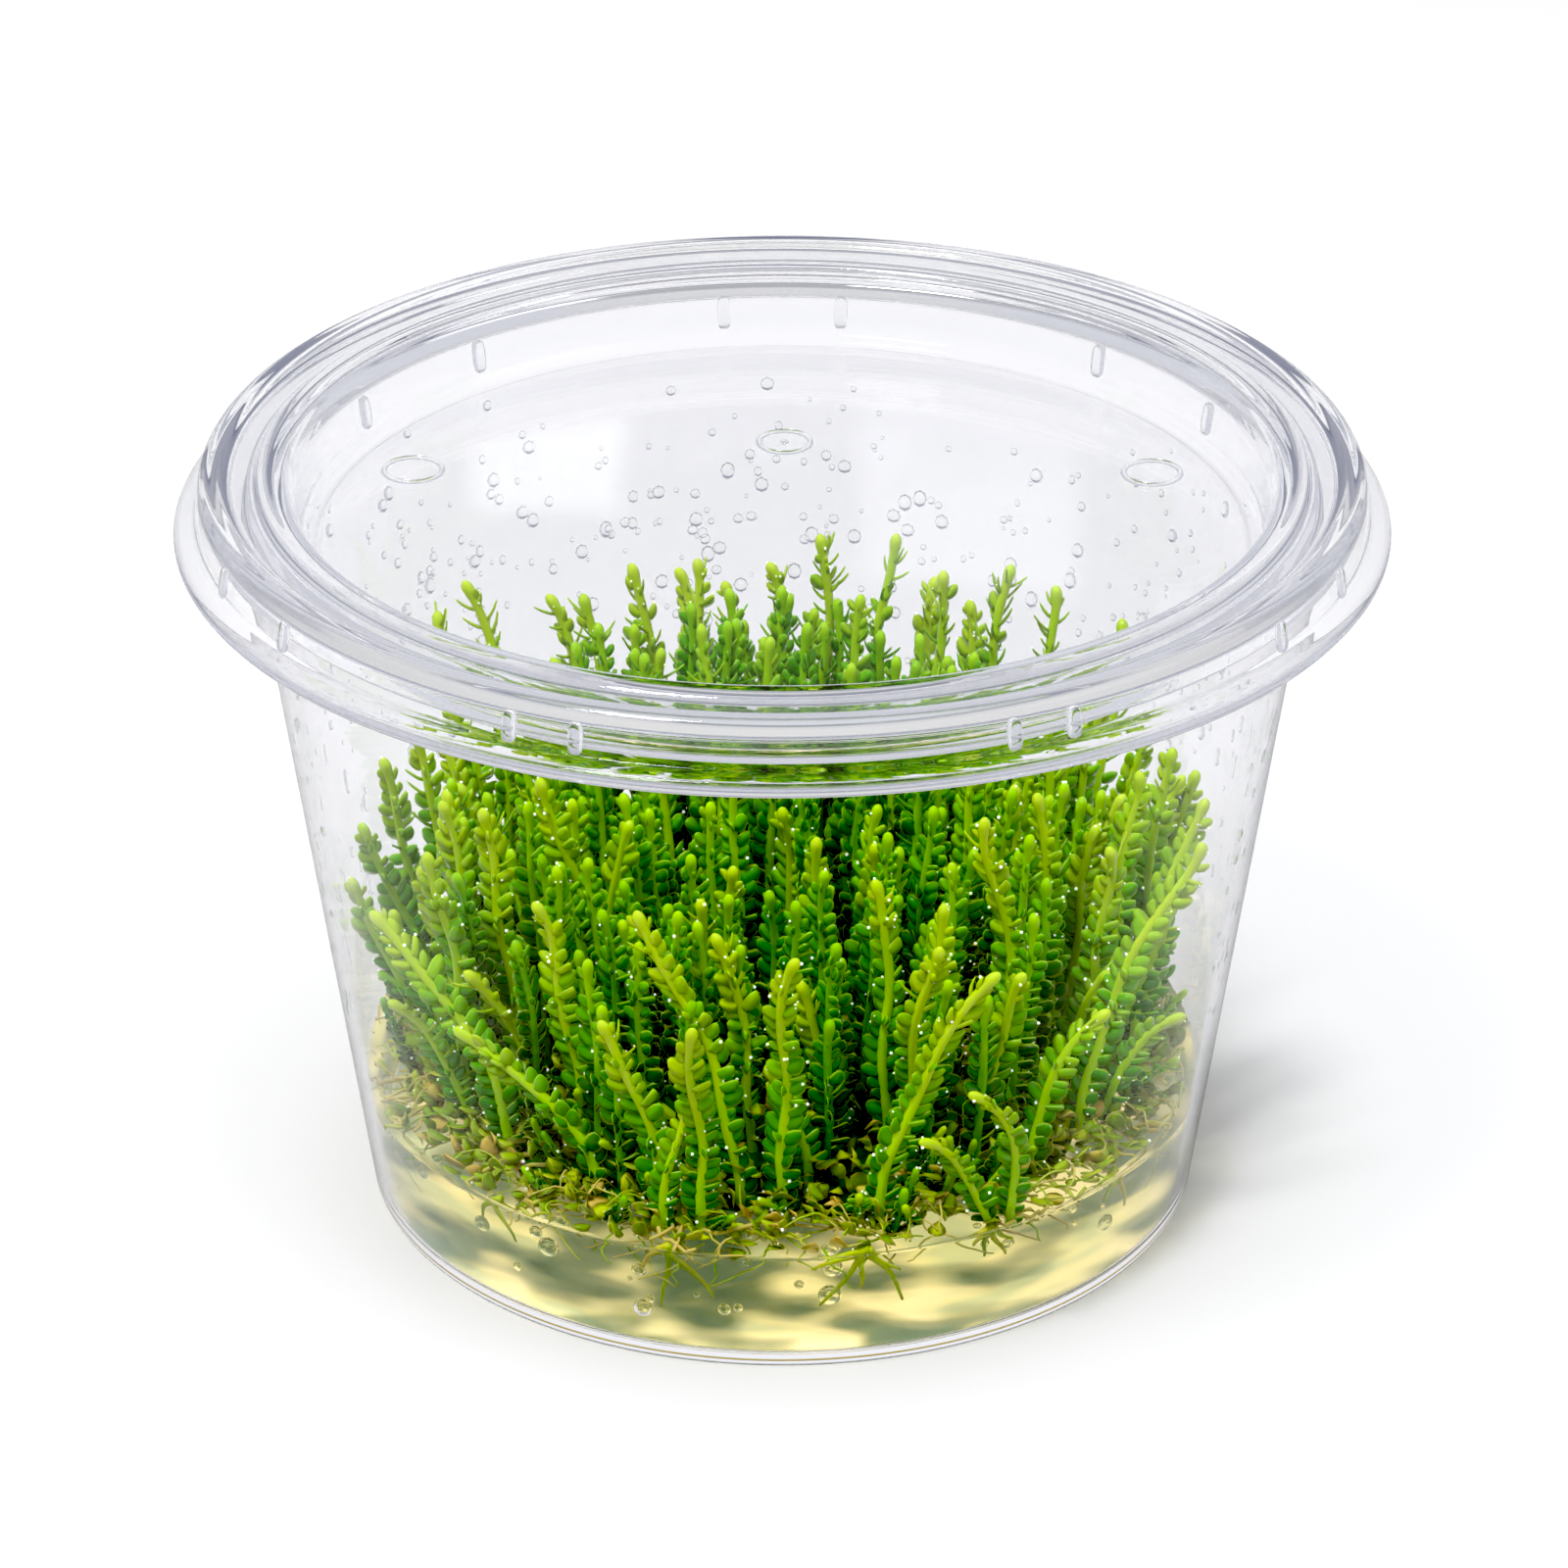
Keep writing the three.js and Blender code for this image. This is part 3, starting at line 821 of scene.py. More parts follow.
class MOSSCUP_OT_gel(bpy.types.Operator):
    """Cast the nutrient gel with its meniscus and the air bubbles in it"""

    bl_idname = "moss_cup.gel"
    bl_label = "Nutrient gel"

    def execute(self, context):
        size = jar_sizes()
        clear = 0.04
        low = FLOOR_TOP + clear
        level, edge = size["gel_top"], size["gel_edge"]
        meniscus = 34.2
        corners = [(0, low, 0), (24.0, low, 0.2), (wall_inside(low) - 0.2, low, 0.8)]
        corners += [(wall_inside(z) - clear, z, 0) for z in (3.2, 5.0, 6.8, 9.0)]
        corners += [(wall_inside(edge) - clear, edge, 0.1), (wall_inside(level) - 1.1, level, 0.5)]
        corners += [(r, level, 0) for r in range(32, 0, -2)]
        corners.append((0, level, 0))

        def uneven(r, z, a):
            if z > level - 0.6 and r < meniscus:
                z += wave(r * math.cos(a), r * math.sin(a))
            return r, z

        gather = Gather()
        turned(gather, rounded(corners), even_angles(128), uneven)
        points, faces, rim = ball(14, 9)
        cavity = (points, faces[:, ::-1], rim)
        places = [np.array(b) for b in BUBBLES_SEEN]
        rng = random.Random(31)
        for _ in range(context.scene.moss_gel.bubbles):
            a = rng.uniform(0, TURN)
            z = rng.uniform(3.6, level - 1.6)
            r = wall_inside(z) - rng.uniform(1.0, 9.0)
            places.append(np.array([r * math.cos(a), r * math.sin(a), z, rng.choice((0.25, 0.3, 0.4, 0.6))]))
        origins = np.array([p[:3] for p in places])
        axes = np.array([np.eye(3) * p[3] for p in places])
        gather.copies(cavity, origins, axes)
        gather.settle("nutrient_gel", ["agar_gel"], "nutrient_gel", "gel")
        self.lay_veil_and_light()
        return {"FINISHED"}

    @staticmethod
    def lay_veil_and_light():
        """The thin veil of settled salts and painted light low in the gel."""
        height = FLOOR_TOP + VEIL_LIFT
        rims = [(0.2, height), (12, height), (22, height), (29, height), (wall_inside(height) - 0.7, height)]
        around = 96
        points = [(r * math.cos(a), r * math.sin(a), z) for r, z in rims for a in even_angles(around)]
        gather = Gather()
        gather.put(points, quads_between(len(rims), around))
        gather.settle("gel_clouds", ["gel_cloud"], "nutrient_gel")


# Moss shoots

TISSUES = ("moss_leaf", "moss_stem")
# Steps along a stem in mm: even ones as far as its club, then these distances from its tip. Last, where the
# club is thickest, and how far it spreads
STEM_STEP = 1.2
TIP_POINTS = np.array([2.0, 1.5, 1.1, 0.8, 0.55, 0.35, 0.18, 0.07, 0.0])
CLUB_START = 2.6
CLUB_AT = 0.85
CLUB_SPREAD = 0.75
# Degrees that leaves open from the stem: low down, near the tip, and slender ones
OPEN_LOW = 70
OPEN_HIGH = 40
OPEN_TWIG = 58
# Slender leaves, long and wide in mm
TWIG_LONG = 1.9
TWIG_WIDE = 0.34


def along_path(path):
    """Length reached at each point of path."""
    return np.concatenate([[0], np.cumsum(np.linalg.norm(np.diff(path, axis=0), axis=1))])


def read_off(rows, marks, at):
    """The rows, such as points of a path, read off at some places between their marks."""
    return np.stack([np.interp(at, marks, rows[:, i]) for i in range(3)], 1)


def stem(gather, path, radius, club, sides, colour_shift):
    """A round stem along path that swells to a club at its tip."""
    reached = along_path(path)
    length = reached[-1]
    at = np.concatenate([np.arange(0, length - CLUB_START, STEM_STEP), length - TIP_POINTS])
    fine = read_off(path, reached, at)
    left = length - at
    swelling = np.exp(-((left - CLUB_AT) / CLUB_SPREAD) ** 2)
    thick = radius * (1.08 - 0.25 * at / length) + (club - radius) * swelling
    end = np.sqrt(np.clip(1 - (np.clip(club - left, 0, club) / club) ** 2, 0.03, 1))
    points, faces = tube(fine, thick * end, sides)
    share = at / length
    # The colour shift also darkens the stems of the crowded inner shoots, as painted shade
    bright = 0.42 + 0.5 * np.concatenate([np.repeat(share, sides), [0, 1]]) + 1.2 * colour_shift
    gather.put(points, faces, bright, slot=1)


def leaf_places(rng, length, step, crowding):
    """Where the leaves of a shoot sit: share of its length, and row 0 or 1 at its sides, 2 or 3 before it and
    behind. crowding is the share of places before and behind that are filled."""
    places = []
    count = max(3, int((length - 0.9) / step))
    for k in range(count):
        for row in range(4):
            if row > 1 and rng.random() > crowding * (0.5 + k / count):
                continue
            offset = 0.0 if row == 0 else (0.5 if row == 1 else rng.random())
            places.append(((k + 0.3 + 0.7 * offset + rng.uniform(-0.12, 0.12)) * step / length, row))
    return np.array([p[0] for p in places]), np.array([p[1] for p in places])


def grow(gather, path, leaf_side, rng, form, scale=1.0, colour_shift=0.0, crowding=0.2, twigs=0.0):
    """One leafy shoot along path, its leaves in two rows that open towards leaf_side and away from it. Its
    colour shift moves its tones, and darkens the crowded inner shoots as painted shade; twigs is the share of
    leaves near its tip that are slender and arched instead."""
    moss = bpy.context.scene.moss_moss
    path = np.asarray(path, float)
    reached = along_path(path)
    length = reached[-1]
    share = reached / length
    sides = 8 if form is FINE_LOBE else 6
    stem(gather, path, moss.stem_radius * scale, moss.club_radius * scale, sides, colour_shift)

    at, row = leaf_places(rng, length, moss.leaf_step * scale, crowding)
    count = len(at)
    tangents = unit(np.gradient(path, axis=0))
    point = read_off(path, share, at)
    along = unit(read_off(tangents, share, at))
    opening = square_to(along, np.asarray(leaf_side, float))
    facing = np.cross(along, opening)
    noise = np.array([[rng.gauss(0, 1) for _ in range(4)] for _ in range(count)])
    slender = np.array([rng.random() < twigs for _ in range(count)]) & (at > 0.55)
    lateral = row < 2

    side_turn = np.select([row == 0, row == 1, row == 2], [0, math.pi, math.pi / 2], -math.pi / 2)
    side_turn = side_turn + 0.2 * noise[:, 0] + slender * noise[:, 0]
    outward = opening * np.cos(side_turn)[:, None] + facing * np.sin(side_turn)[:, None]
    closing = (OPEN_LOW - OPEN_HIGH) * np.clip((at - 0.45) / 0.5, 0, 1)
    spread = np.radians(OPEN_LOW - closing + 8 * noise[:, 1])
    spread = np.where(lateral, spread, spread * 0.8)
    spread = np.where(slender, np.radians(OPEN_TWIG + 9 * noise[:, 1]), spread)
    direction = along * np.cos(spread)[:, None] + outward * np.sin(spread)[:, None]
    x, y, z = leaf_axes(direction, along, 0.2 + 0.28 * noise[:, 2])

    to_tip = (1 - at) * length
    size = scale * (1 + 0.13 * noise[:, 3]) * np.where(lateral, 1, 0.8)
    size = size * (0.55 + 0.45 * np.clip(to_tip / 5, 0, 1)) * (0.78 + 0.22 * np.clip(at / 0.2, 0, 1))
    long = moss.leaf_length * size
    wide = moss.leaf_width * size * (1.06 - 0.34 * np.clip((at - 0.4) / 0.6, 0, 1))
    long = np.where(slender, TWIG_LONG * scale * (1 + 0.2 * noise[:, 3]), long)
    wide = np.where(slender, TWIG_WIDE * scale, wide)
    axes = np.stack([x * long[:, None], y * wide[:, None], z * wide[:, None]], 1)
    origins = point + outward * (0.5 * moss.stem_radius * scale)
    ripe = at + colour_shift + 0.06 * noise[:, 2]
    gather.copies(form, origins[~slender], axes[~slender], ripe[~slender])
    if slender.any():
        gather.copies(TWIG, origins[slender], axes[slender], ripe[slender])


def frame_path(node):
    """The centre line of a free shoot of the frame and the way its leaves open, from its level rings."""
    co = np.array([v.co for v in frame["nodes"][node].data.vertices], float).reshape(-1, 3) / MM
    levels = {}
    for p in co:
        levels.setdefault(round(p[2], 2), []).append(p)
    heights = sorted(levels)
    centres = []
    for h in heights:
        ring = np.array(levels[h])
        centres.append((ring.max(0) + ring.min(0)) / 2)
    centres = np.array(centres)
    wide = np.array(levels[heights[1]])
    spread = wide - wide.mean(0)
    far = spread[np.argmax(np.hypot(spread[:, 0], spread[:, 1]))]
    z = centres[:, 2]
    lines = [np.polyfit(z, centres[:, i], 2) for i in (0, 1)]
    return lines, z[0], z[-1], unit(np.array([far[0], far[1], 0.0]))


# The free shoots at the back, whose tips show through the lid, by their place in the list
FIRST_BACK_SHOOT = 18
BACK_SHOOTS = 14


class MOSSCUP_OT_shoots(bpy.types.Operator):
    """Grow the free shoots, each along its own solid of the frame"""

    bl_idname = "moss_cup.shoots"
    bl_label = "Free shoots"

    def execute(self, context):
        moss = context.scene.moss_moss
        level = jar_sizes()["gel_top"]
        for i, node in enumerate(FREE_SHOOTS):
            rng = random.Random(moss.seed * 1000 + i)
            (fx, fy), low, high, side = frame_path(node)
            z = np.linspace(level - 0.1, high - 0.15, 40)
            held = np.maximum(z, low - 1.5)
            rise = np.clip((z - level) / 6, 0, 1)
            sway = 0.3 * np.sin(z * 0.42 + rng.uniform(0, TURN)) * rise
            nod = rng.uniform(-0.9, 0.9) * np.clip((z - high + 3.5) / 3.5, 0, 1) ** 2
            path = np.stack([np.polyval(fx, held) + sway + nod, np.polyval(fy, held) + 0.5 * sway, z], 1)
            behind = FIRST_BACK_SHOOT <= i < FIRST_BACK_SHOOT + BACK_SHOOTS
            gather = Gather()
            colour_shift = rng.uniform(-0.02, 0.16)
            grow(gather, path, side, rng, FINE_LOBE, 1.0, colour_shift, 0.13, 0.75 if behind else 0.06)
            gather.settle(f"leafy_{node}", TISSUES, "moss_shoot", node)
        return {"FINISHED"}


# Slimmer shoots between the free ones: foot x and y, tip x, y and height
SLIM_SHOOTS = [
    (-7.3, -10.9, -6.6, -13.9, 32.4),
    (-3.9, -2.6, -4.4, -5.6, 31.0),
    (1.8, -7.6, 3.2, -10.6, 36.4),
    (1.4, 4.2, 0.1, 1.2, 33.0),
    (6.9, -0.9, 7.6, -3.9, 32.3),
    (19.5, 0.8, 19.4, -2.2, 36.9),
    (23.3, -5.9, 21.1, -7.9, 39.1),
    (-13.2, -4.3, -20.0, -7.3, 40.2),
    (-18.0, -4.3, -12.2, -7.3, 36.2),
    (-29.3, 5.6, -36.2, 1.6, 31.1),
    (31.1, 5.9, 35.0, 3.9, 35.0),
    (30.5, 2.5, 32.6, 1.5, 38.4),
    (-30.6, 11.1, -34.6, 9.1, 33.5),
    (-31.5, 2.5, -37.2, 0.5, 26.4),
    (-8.9, -17.3, -13.0, -18.3, 20.6),
    (-26.5, 8.0, -31.5, 6.0, 37.5),
    (-25.0, 1.5, -29.0, -0.5, 33.0),
    (-28.0, -3.5, -33.0, -6.0, 27.0),
    (-24.0, 13.0, -28.0, 12.0, 39.0),
    (-22.5, -8.5, -26.5, -10.5, 25.0),
    (26.5, 8.5, 31.0, 6.5, 38.0),
    (25.5, 1.0, 29.5, -1.5, 33.5),
    (28.5, -3.0, 33.0, -5.5, 27.5),
    (24.0, 13.5, 27.5, 12.5, 40.0),
    (22.5, -9.0, 27.0, -11.0, 24.0),
]
# Nodding shoots at the front: x and height along each, then y at its foot and at its tip
NODDING_SHOOTS = [
    ([(18.3, 10.5), (18.8, 16.1), (18.6, 19.6), (16.9, 23.1), (14.8, 24.4)], -29.0, -32.0),
    ([(16.9, 10.5), (15.0, 15.3), (13.0, 19.3), (10.9, 20.2)], -29.5, -32.5),
    ([(-9.6, 10.5), (-9.6, 15.0), (-7.4, 22.6)], -29.9, -30.9),
    ([(-25.5, 11.0), (-27.5, 17.0), (-29.5, 22.0), (-32.0, 24.5)], -14.0, -17.0),
    ([(26.5, 11.0), (28.0, 16.0), (30.5, 20.5), (33.0, 22.0)], -13.0, -15.0),
]


def smooth_path(points, count=24):
    """Points close together on a soft curve near the given ones."""
    points = np.asarray(points, float)
    reached = along_path(points)
    t = np.linspace(0, reached[-1], count)
    line = read_off(points, reached, t)
    for _ in range(8):
        line[1:-1] = (line[:-2] + 2 * line[1:-1] + line[2:]) / 4
    return line


class MOSSCUP_OT_between(bpy.types.Operator):
    """Grow the slimmer shoots between the free ones, and the nodding ones at the front"""

    bl_idname = "moss_cup.between"
    bl_label = "Shoots between"

    def execute(self, context):
        moss = context.scene.moss_moss
        level = jar_sizes()["gel_top"]
        gather = Gather()
        for n, (fx, fy, tx, ty, high) in enumerate(SLIM_SHOOTS):
            rng = random.Random(moss.seed * 3000 + n)
            t = np.linspace(0, 1, 24)
            bow = t ** 1.3
            sway = 0.35 * np.sin(t * 9 + rng.uniform(0, TURN)) * t
            path = np.stack([
                fx + (tx - fx) * bow + sway,
                fy + (ty - fy) * bow,
                level + (high - level) * t,
            ], 1)
            side = np.array([1.0, rng.uniform(-0.5, 0.5), 0.0])
            grow(gather, path, side, rng, FINE_LOBE, 1.0, rng.uniform(-0.06, 0.06), 0.15, 0.1)
        gather.settle("slim_shoots", TISSUES, "moss_shoot")
        gather = Gather()
        for n, (line, foot_y, tip_y) in enumerate(NODDING_SHOOTS):
            rng = random.Random(moss.seed * 4000 + n)
            ys = np.linspace(foot_y, tip_y, len(line))
            path = smooth_path([(x, y, z) for (x, z), y in zip(line, ys)])
            grow(gather, path, np.array([1.0, 0.0, 0.2]), rng, FINE_LOBE, 0.85, rng.uniform(0.04, 0.14), 0.12)
        gather.settle("nodding_shoots", TISSUES, "moss_shoot")
        return {"FINISHED"}


def scatter(n, which):
    """The frame's own repeatable scatter between 0 and 1."""
    s = math.sin(n * 12.9898 + which * 78.233) * 43758.5453
    return s - math.floor(s)


# The frame's inner shoots: how many, within what radius, and their heights, then the radii between which the
# further ones stand, and the share of those that is left out at the front
INNER_SOLIDS = 62
INNER_RADIUS = 22.5
INNER_LOW, INNER_HIGH = 31.0, 44.0
FURTHER_FROM, FURTHER_SPAN = 6, 21.5
LEFT_OUT = 0.45


def inner_line(n, count):
    """Foot and tip of an inner shoot: the frame's own law, carried on past the solids of its mat."""
    angle = n * GOLDEN_ANGLE + 0.4
    radius = INNER_RADIUS * math.sqrt((n + 0.5) / INNER_SOLIDS) if n < INNER_SOLIDS else (
        FURTHER_FROM + FURTHER_SPAN * math.sqrt((n - INNER_SOLIDS + 0.5) / (count - INNER_SOLIDS)))
    c, s = math.cos(angle), math.sin(angle)
    lean = 1 + 2 * scatter(n, 5)
    backward = 0.5 + 0.5 * s
    height = INNER_LOW + (INNER_HIGH - INNER_LOW) * (0.35 * scatter(n, 6) + 0.65 * backward)
    if n >= INNER_SOLIDS:
        height -= 1 + 5 * scatter(n, 7)
    return np.array([radius * c, radius * s]), np.array([(radius + lean) * c, (radius + lean) * s]), height


class MOSSCUP_OT_inner(bpy.types.Operator):
    """Grow the crowded inner shoots in place of the mat's solid"""

    bl_idname = "moss_cup.inner"
    bl_label = "Inner shoots"

    def execute(self, context):
        moss = context.scene.moss_moss
        level = jar_sizes()["gel_top"]
        groups = 4
        count = moss.inner_shoots
        for g in range(groups):
            gather = Gather()
            for n in range(g, count, groups):
                rng = random.Random(moss.seed * 5000 + n)
                foot, tip, high = inner_line(n, count)
                in_front = foot[1] < -3
                if n >= INNER_SOLIDS and in_front and scatter(n, 9) < LEFT_OUT:
                    continue
                # Painted shade: the crowded inner shoots take darker tones than the free ones, and darker
                # still at the front, where they fill the gaps behind the free shoots
                age_and_shade = rng.uniform(-0.42, -0.22) if in_front else rng.uniform(-0.34, -0.1)
                t = np.linspace(0, 1, 16)
                bend = t * (0.3 + 0.7 * t)
                x = foot[0] + (tip[0] - foot[0]) * bend
                y = foot[1] + (tip[1] - foot[1]) * bend
                z = level + 0.5 + (high - 0.3 - level - 0.5) * t
                sway = 0.3 * np.sin(z * 0.4 + rng.uniform(0, TURN)) * t
                turn = rng.uniform(-0.9, 0.9)
                side = np.array([math.cos(turn), math.sin(turn), 0])
                path = np.stack([x + sway, y - 0.5 * sway, z], 1)
                grow(gather, path, side, rng, PLAIN_LOBE, 1.0, age_and_shade, 0.3, 0.25 * (foot[1] > 0))
            gather.settle(f"inner_shoots_{g + 1}", TISSUES, "moss_mat", "moss_mat")
        return {"FINISHED"}


# Low growth at the foot

# Arms that dive into the gel: bearing of their middle in degrees from the front, then how far each reaches
# sideways and down in mm
GEL_ARMS = [
    (11.2, [(-4.4, 1.4), (-3.4, 5.2), (-0.6, 3.6), (3.4, 5.4), (2.6, 2.2)]),
    (29.1, [(-1.6, 1.2), (-0.8, 2.6), (1.9, 1.6), (1.2, 3.0)]),
    (-15.6, [(-0.4, 6.2), (2.4, 3.0), (3.8, 4.6), (-2.4, 2.4)]),
    (-42.0, [(1.6, 3.4), (-1.8, 2.2)]),
    (52.0, [(1.0, 3.8), (-2.0, 2.0)]),
]


def held_in(x, y, limit):
    """A place drawn in to the limit round the axis, and whether it had to be."""
    share = min(1.0, limit / math.hypot(x, y))
    return x * share, y * share, share < 1


def on_gel(rng, inner, outer):
    """A random place on the gel, as x, y and its angle."""
    a = rng.uniform(0, TURN)
    r = math.sqrt(rng.uniform(inner ** 2, outer ** 2))
    return r * math.cos(a), r * math.sin(a), a


# Young shoots in all, and the felt's mean radius in mm
YOUNG_SHOOTS = 100
FELT_RADIUS = 28.6
# What stays clear between the wall and each kind of growth, in mm
YOUNG_CLEAR = 0.8
RUNNER_CLEAR = 0.7
RHIZOID_CLEAR = 0.6
ARM_CLEAR = 1.3


class MOSSCUP_OT_foot(bpy.types.Operator):
    """Lay the old leaves, creeping stems and rhizoids round the foot of the moss"""

    bl_idname = "moss_cup.foot"
    bl_label = "Foot growth"

    def execute(self, context):
        moss = context.scene.moss_moss
        level = jar_sizes()["gel_top"]
        for lay in (self.cushion, self.old_leaves, self.young_shoots, self.runners, self.rhizoids, self.arms):
            lay(moss, level)
        return {"FINISHED"}

    @staticmethod
    def cushion(moss, level):
        """The dark felt of old stems that everything grows from."""
        rng = random.Random(moss.seed + 5)
        rings, around = 26, 120
        points = [(0, 0, level + 1.6)]
        for i in range(1, rings + 1):
            for j in range(around):
                a = TURN * j / around
                r = (FELT_RADIUS + 1.2 * math.sin(5 * a) + 0.9 * math.sin(8 * a + 1)) * i / rings
                crown = 1.5 * (1 - (i / rings) ** 5) + 0.1
                bump = rng.uniform(-0.35, 0.35) * (i < rings)
                points.append((r * math.cos(a), r * math.sin(a), level + crown + bump))
        faces = []
        for j in range(around):
            k = (j + 1) % around
            faces.append((0, 1 + j, 1 + k))
            for i in range(rings - 1):
                a, b = 1 + i * around + j, 1 + i * around + k
                faces += [(a, a + around, b + around), (a, b + around, b)]
        gather = Gather()
        gather.put(points, faces, 0.1)
        gather.settle("felt", ["moss_leaf"], "moss_mat", "moss_mat")

    @staticmethod
    def old_leaves(moss, level):
        """Round leaves strewn over the gel, most of them near the wall, and every fifth one on the felt."""
        rng = random.Random(moss.seed + 11)
        origins, axes, ripe = [], [], []
        for n in range(moss.foot_leaves):
            on_felt = n % 5 == 0
            if on_felt:
                x, y, a = on_gel(rng, 0, 17.0)
            else:
                x, y, a = on_gel(rng, 14 if n % 2 else 24, 34.0 if n % 3 == 0 else 32.0)
            heap = 1.6 if on_felt else max(0.7, (34.0 - math.hypot(x, y)) * 0.5)
            z = level + (1.5 if on_felt else 0.15) + rng.random() ** 1.4 * heap
            heading = a + rng.gauss(0, 0.9)
            rise = rng.uniform(-0.1, 1.1)
            flat = math.cos(rise)
            direction = np.array([[math.cos(heading) * flat, math.sin(heading) * flat, math.sin(rise)]])
            tilt = np.array([rng.uniform(0.5, 2.3)])
            along, across, out = leaf_axes(direction, np.array([[0.3, 0.1, 0.9]]), tilt)
            size = rng.uniform(1.0, 2.2)
            wide = size * rng.uniform(0.7, 0.95)
            axes.append(np.stack([along[0] * size, across[0] * wide, out[0] * wide]))
            origins.append((x, y, z))
            ripe.append(rng.choice((0.1, 0.2, 0.3, 0.35, 0.45, 0.5, 0.6, 0.7, 0.97)))
        gather = Gather()
        gather.copies(ROUND_LEAF, np.array(origins), np.array(axes), np.array(ripe))
        gather.settle("foot_leaves", ["moss_foot"], "moss_mat", "moss_mat")

    @staticmethod
    def young_shoots(moss, level):
        """Short leafy shoots that lean out from the foot, shorter at the front."""
        rng = random.Random(moss.seed + 23)
        gather = Gather()
        for _ in range(YOUNG_SHOOTS):
            x, y, a = on_gel(rng, 22, 32.8)
            heading = a + rng.gauss(0, 0.8)
            long = rng.uniform(3, 8) if y < -20 else rng.uniform(4, 13)
            lean = rng.uniform(0.25, 0.8)
            t = np.linspace(0, 1, 9)
            reach = long * lean * t
            path = np.stack([
                x + reach * math.cos(heading),
                y + reach * math.sin(heading),
                level + 0.2 + long * (1 - 0.5 * lean) * t,
            ], 1)
            far = np.hypot(path[:, 0], path[:, 1]).max()
            limit = wall_inside(level) - YOUNG_CLEAR
            if far > limit:
                path[:, :2] *= limit / far
            side = np.array([-math.sin(heading), math.cos(heading), 0.2])
            grow(gather, path, side, rng, PLAIN_LOBE, rng.uniform(0.55, 0.85), rng.uniform(-0.5, 0.0), 0.3)
        gather.settle("young_shoots", TISSUES, "moss_mat", "moss_mat")

    @staticmethod
    def runners(moss, level):
        """Creeping stems that wander over the gel and turn away from the wall."""
        rng = random.Random(moss.seed + 37)
        gather = Gather()
        for _ in range(moss.runners):
            x, y, a = on_gel(rng, 24, 31)
            heading = a + rng.gauss(0, 0.7)
            path = []
            for k in range(12):
                path.append((x, y, level + 0.25 + 0.5 * math.sin(k * 0.5 + x) ** 2))
                heading += rng.gauss(0, 0.22)
                x += 0.85 * math.cos(heading)
                y += 0.85 * math.sin(heading)
                x, y, at_wall = held_in(x, y, wall_inside(level) - RUNNER_CLEAR)
                if at_wall:
                    heading += 0.8
            gather.strand(path, 0.26, 0.14, 6, rng.uniform(0.0, 0.7))
        gather.settle("runners", ["moss_rhizoid"], "moss_mat", "moss_mat")

    @staticmethod
    def rhizoids(moss, level):
        """Fine threads, some arched over the gel and some that dive into it."""
        rng = random.Random(moss.seed + 41)
        gather = Gather()
        for _ in range(moss.rhizoids):
            x, y, a = on_gel(rng, 28, 33.6)
            heading = a + rng.gauss(0, 1.1)
            dive = rng.choice((0.0, 0.0, -0.12, -0.3))
            arch = rng.choice((0.3, 0.8, 1.5, 2.4)) if dive == 0 else 0.0
            z = level + 0.12
            path = []
            steps = rng.randint(6, 12)
            for k in range(steps):
                path.append((x, y, z + arch * math.sin(math.pi * k / steps)))
                heading += rng.gauss(0, 0.35)
                x += 0.6 * math.cos(heading)
                y += 0.6 * math.sin(heading)
                z = max(3.2, z + dive + rng.gauss(0, 0.05))
                x, y, _ = held_in(x, y, wall_inside(z) - RHIZOID_CLEAR)
            gather.strand(path, 0.12, 0.07, 5, rng.uniform(0.0, 1.0))
        gather.settle("rhizoids", ["moss_rhizoid"], "moss_mat", "moss_mat")

    @staticmethod
    def arms(moss, level):
        """Flat arms that dive from a shoot's foot into the gel, spread out along the wall."""
        rng = random.Random(moss.seed + 43)
        gather = Gather()
        for middle, reaches in GEL_ARMS:
            for sideways, down in reaches:
                path = []
                for t in np.linspace(0, 1, 9):
                    z = level + 0.4 - down * t ** 1.2
                    r = wall_inside(z) - ARM_CLEAR
                    bearing = math.radians(middle - 90) + (sideways * t + 0.3 * math.sin(5 * t + down)) / r
                    path.append((r * math.cos(bearing), r * math.sin(bearing), z))
                gather.strand(path, 0.34, 0.12, 6, rng.uniform(0.5, 0.9))
        gather.settle("gel_arms", ["moss_foot"], "moss_mat", "moss_mat")


# Water

# How far a place on the wall faces the front, from 1 to -1 at the back: above the first no drop forms, and
# below the second drops are larger by the scale
CLEAR_FRONT = 0.42
BACK_FROM = -0.3
BACK_SCALE = 1.35
# Leaves that get more of the dew, and all that get some
DEWY = ("leafy_", "slim_", "nodding_")
SPRINKLED = (*DEWY, "inner_shoots", "young_", "foot_")


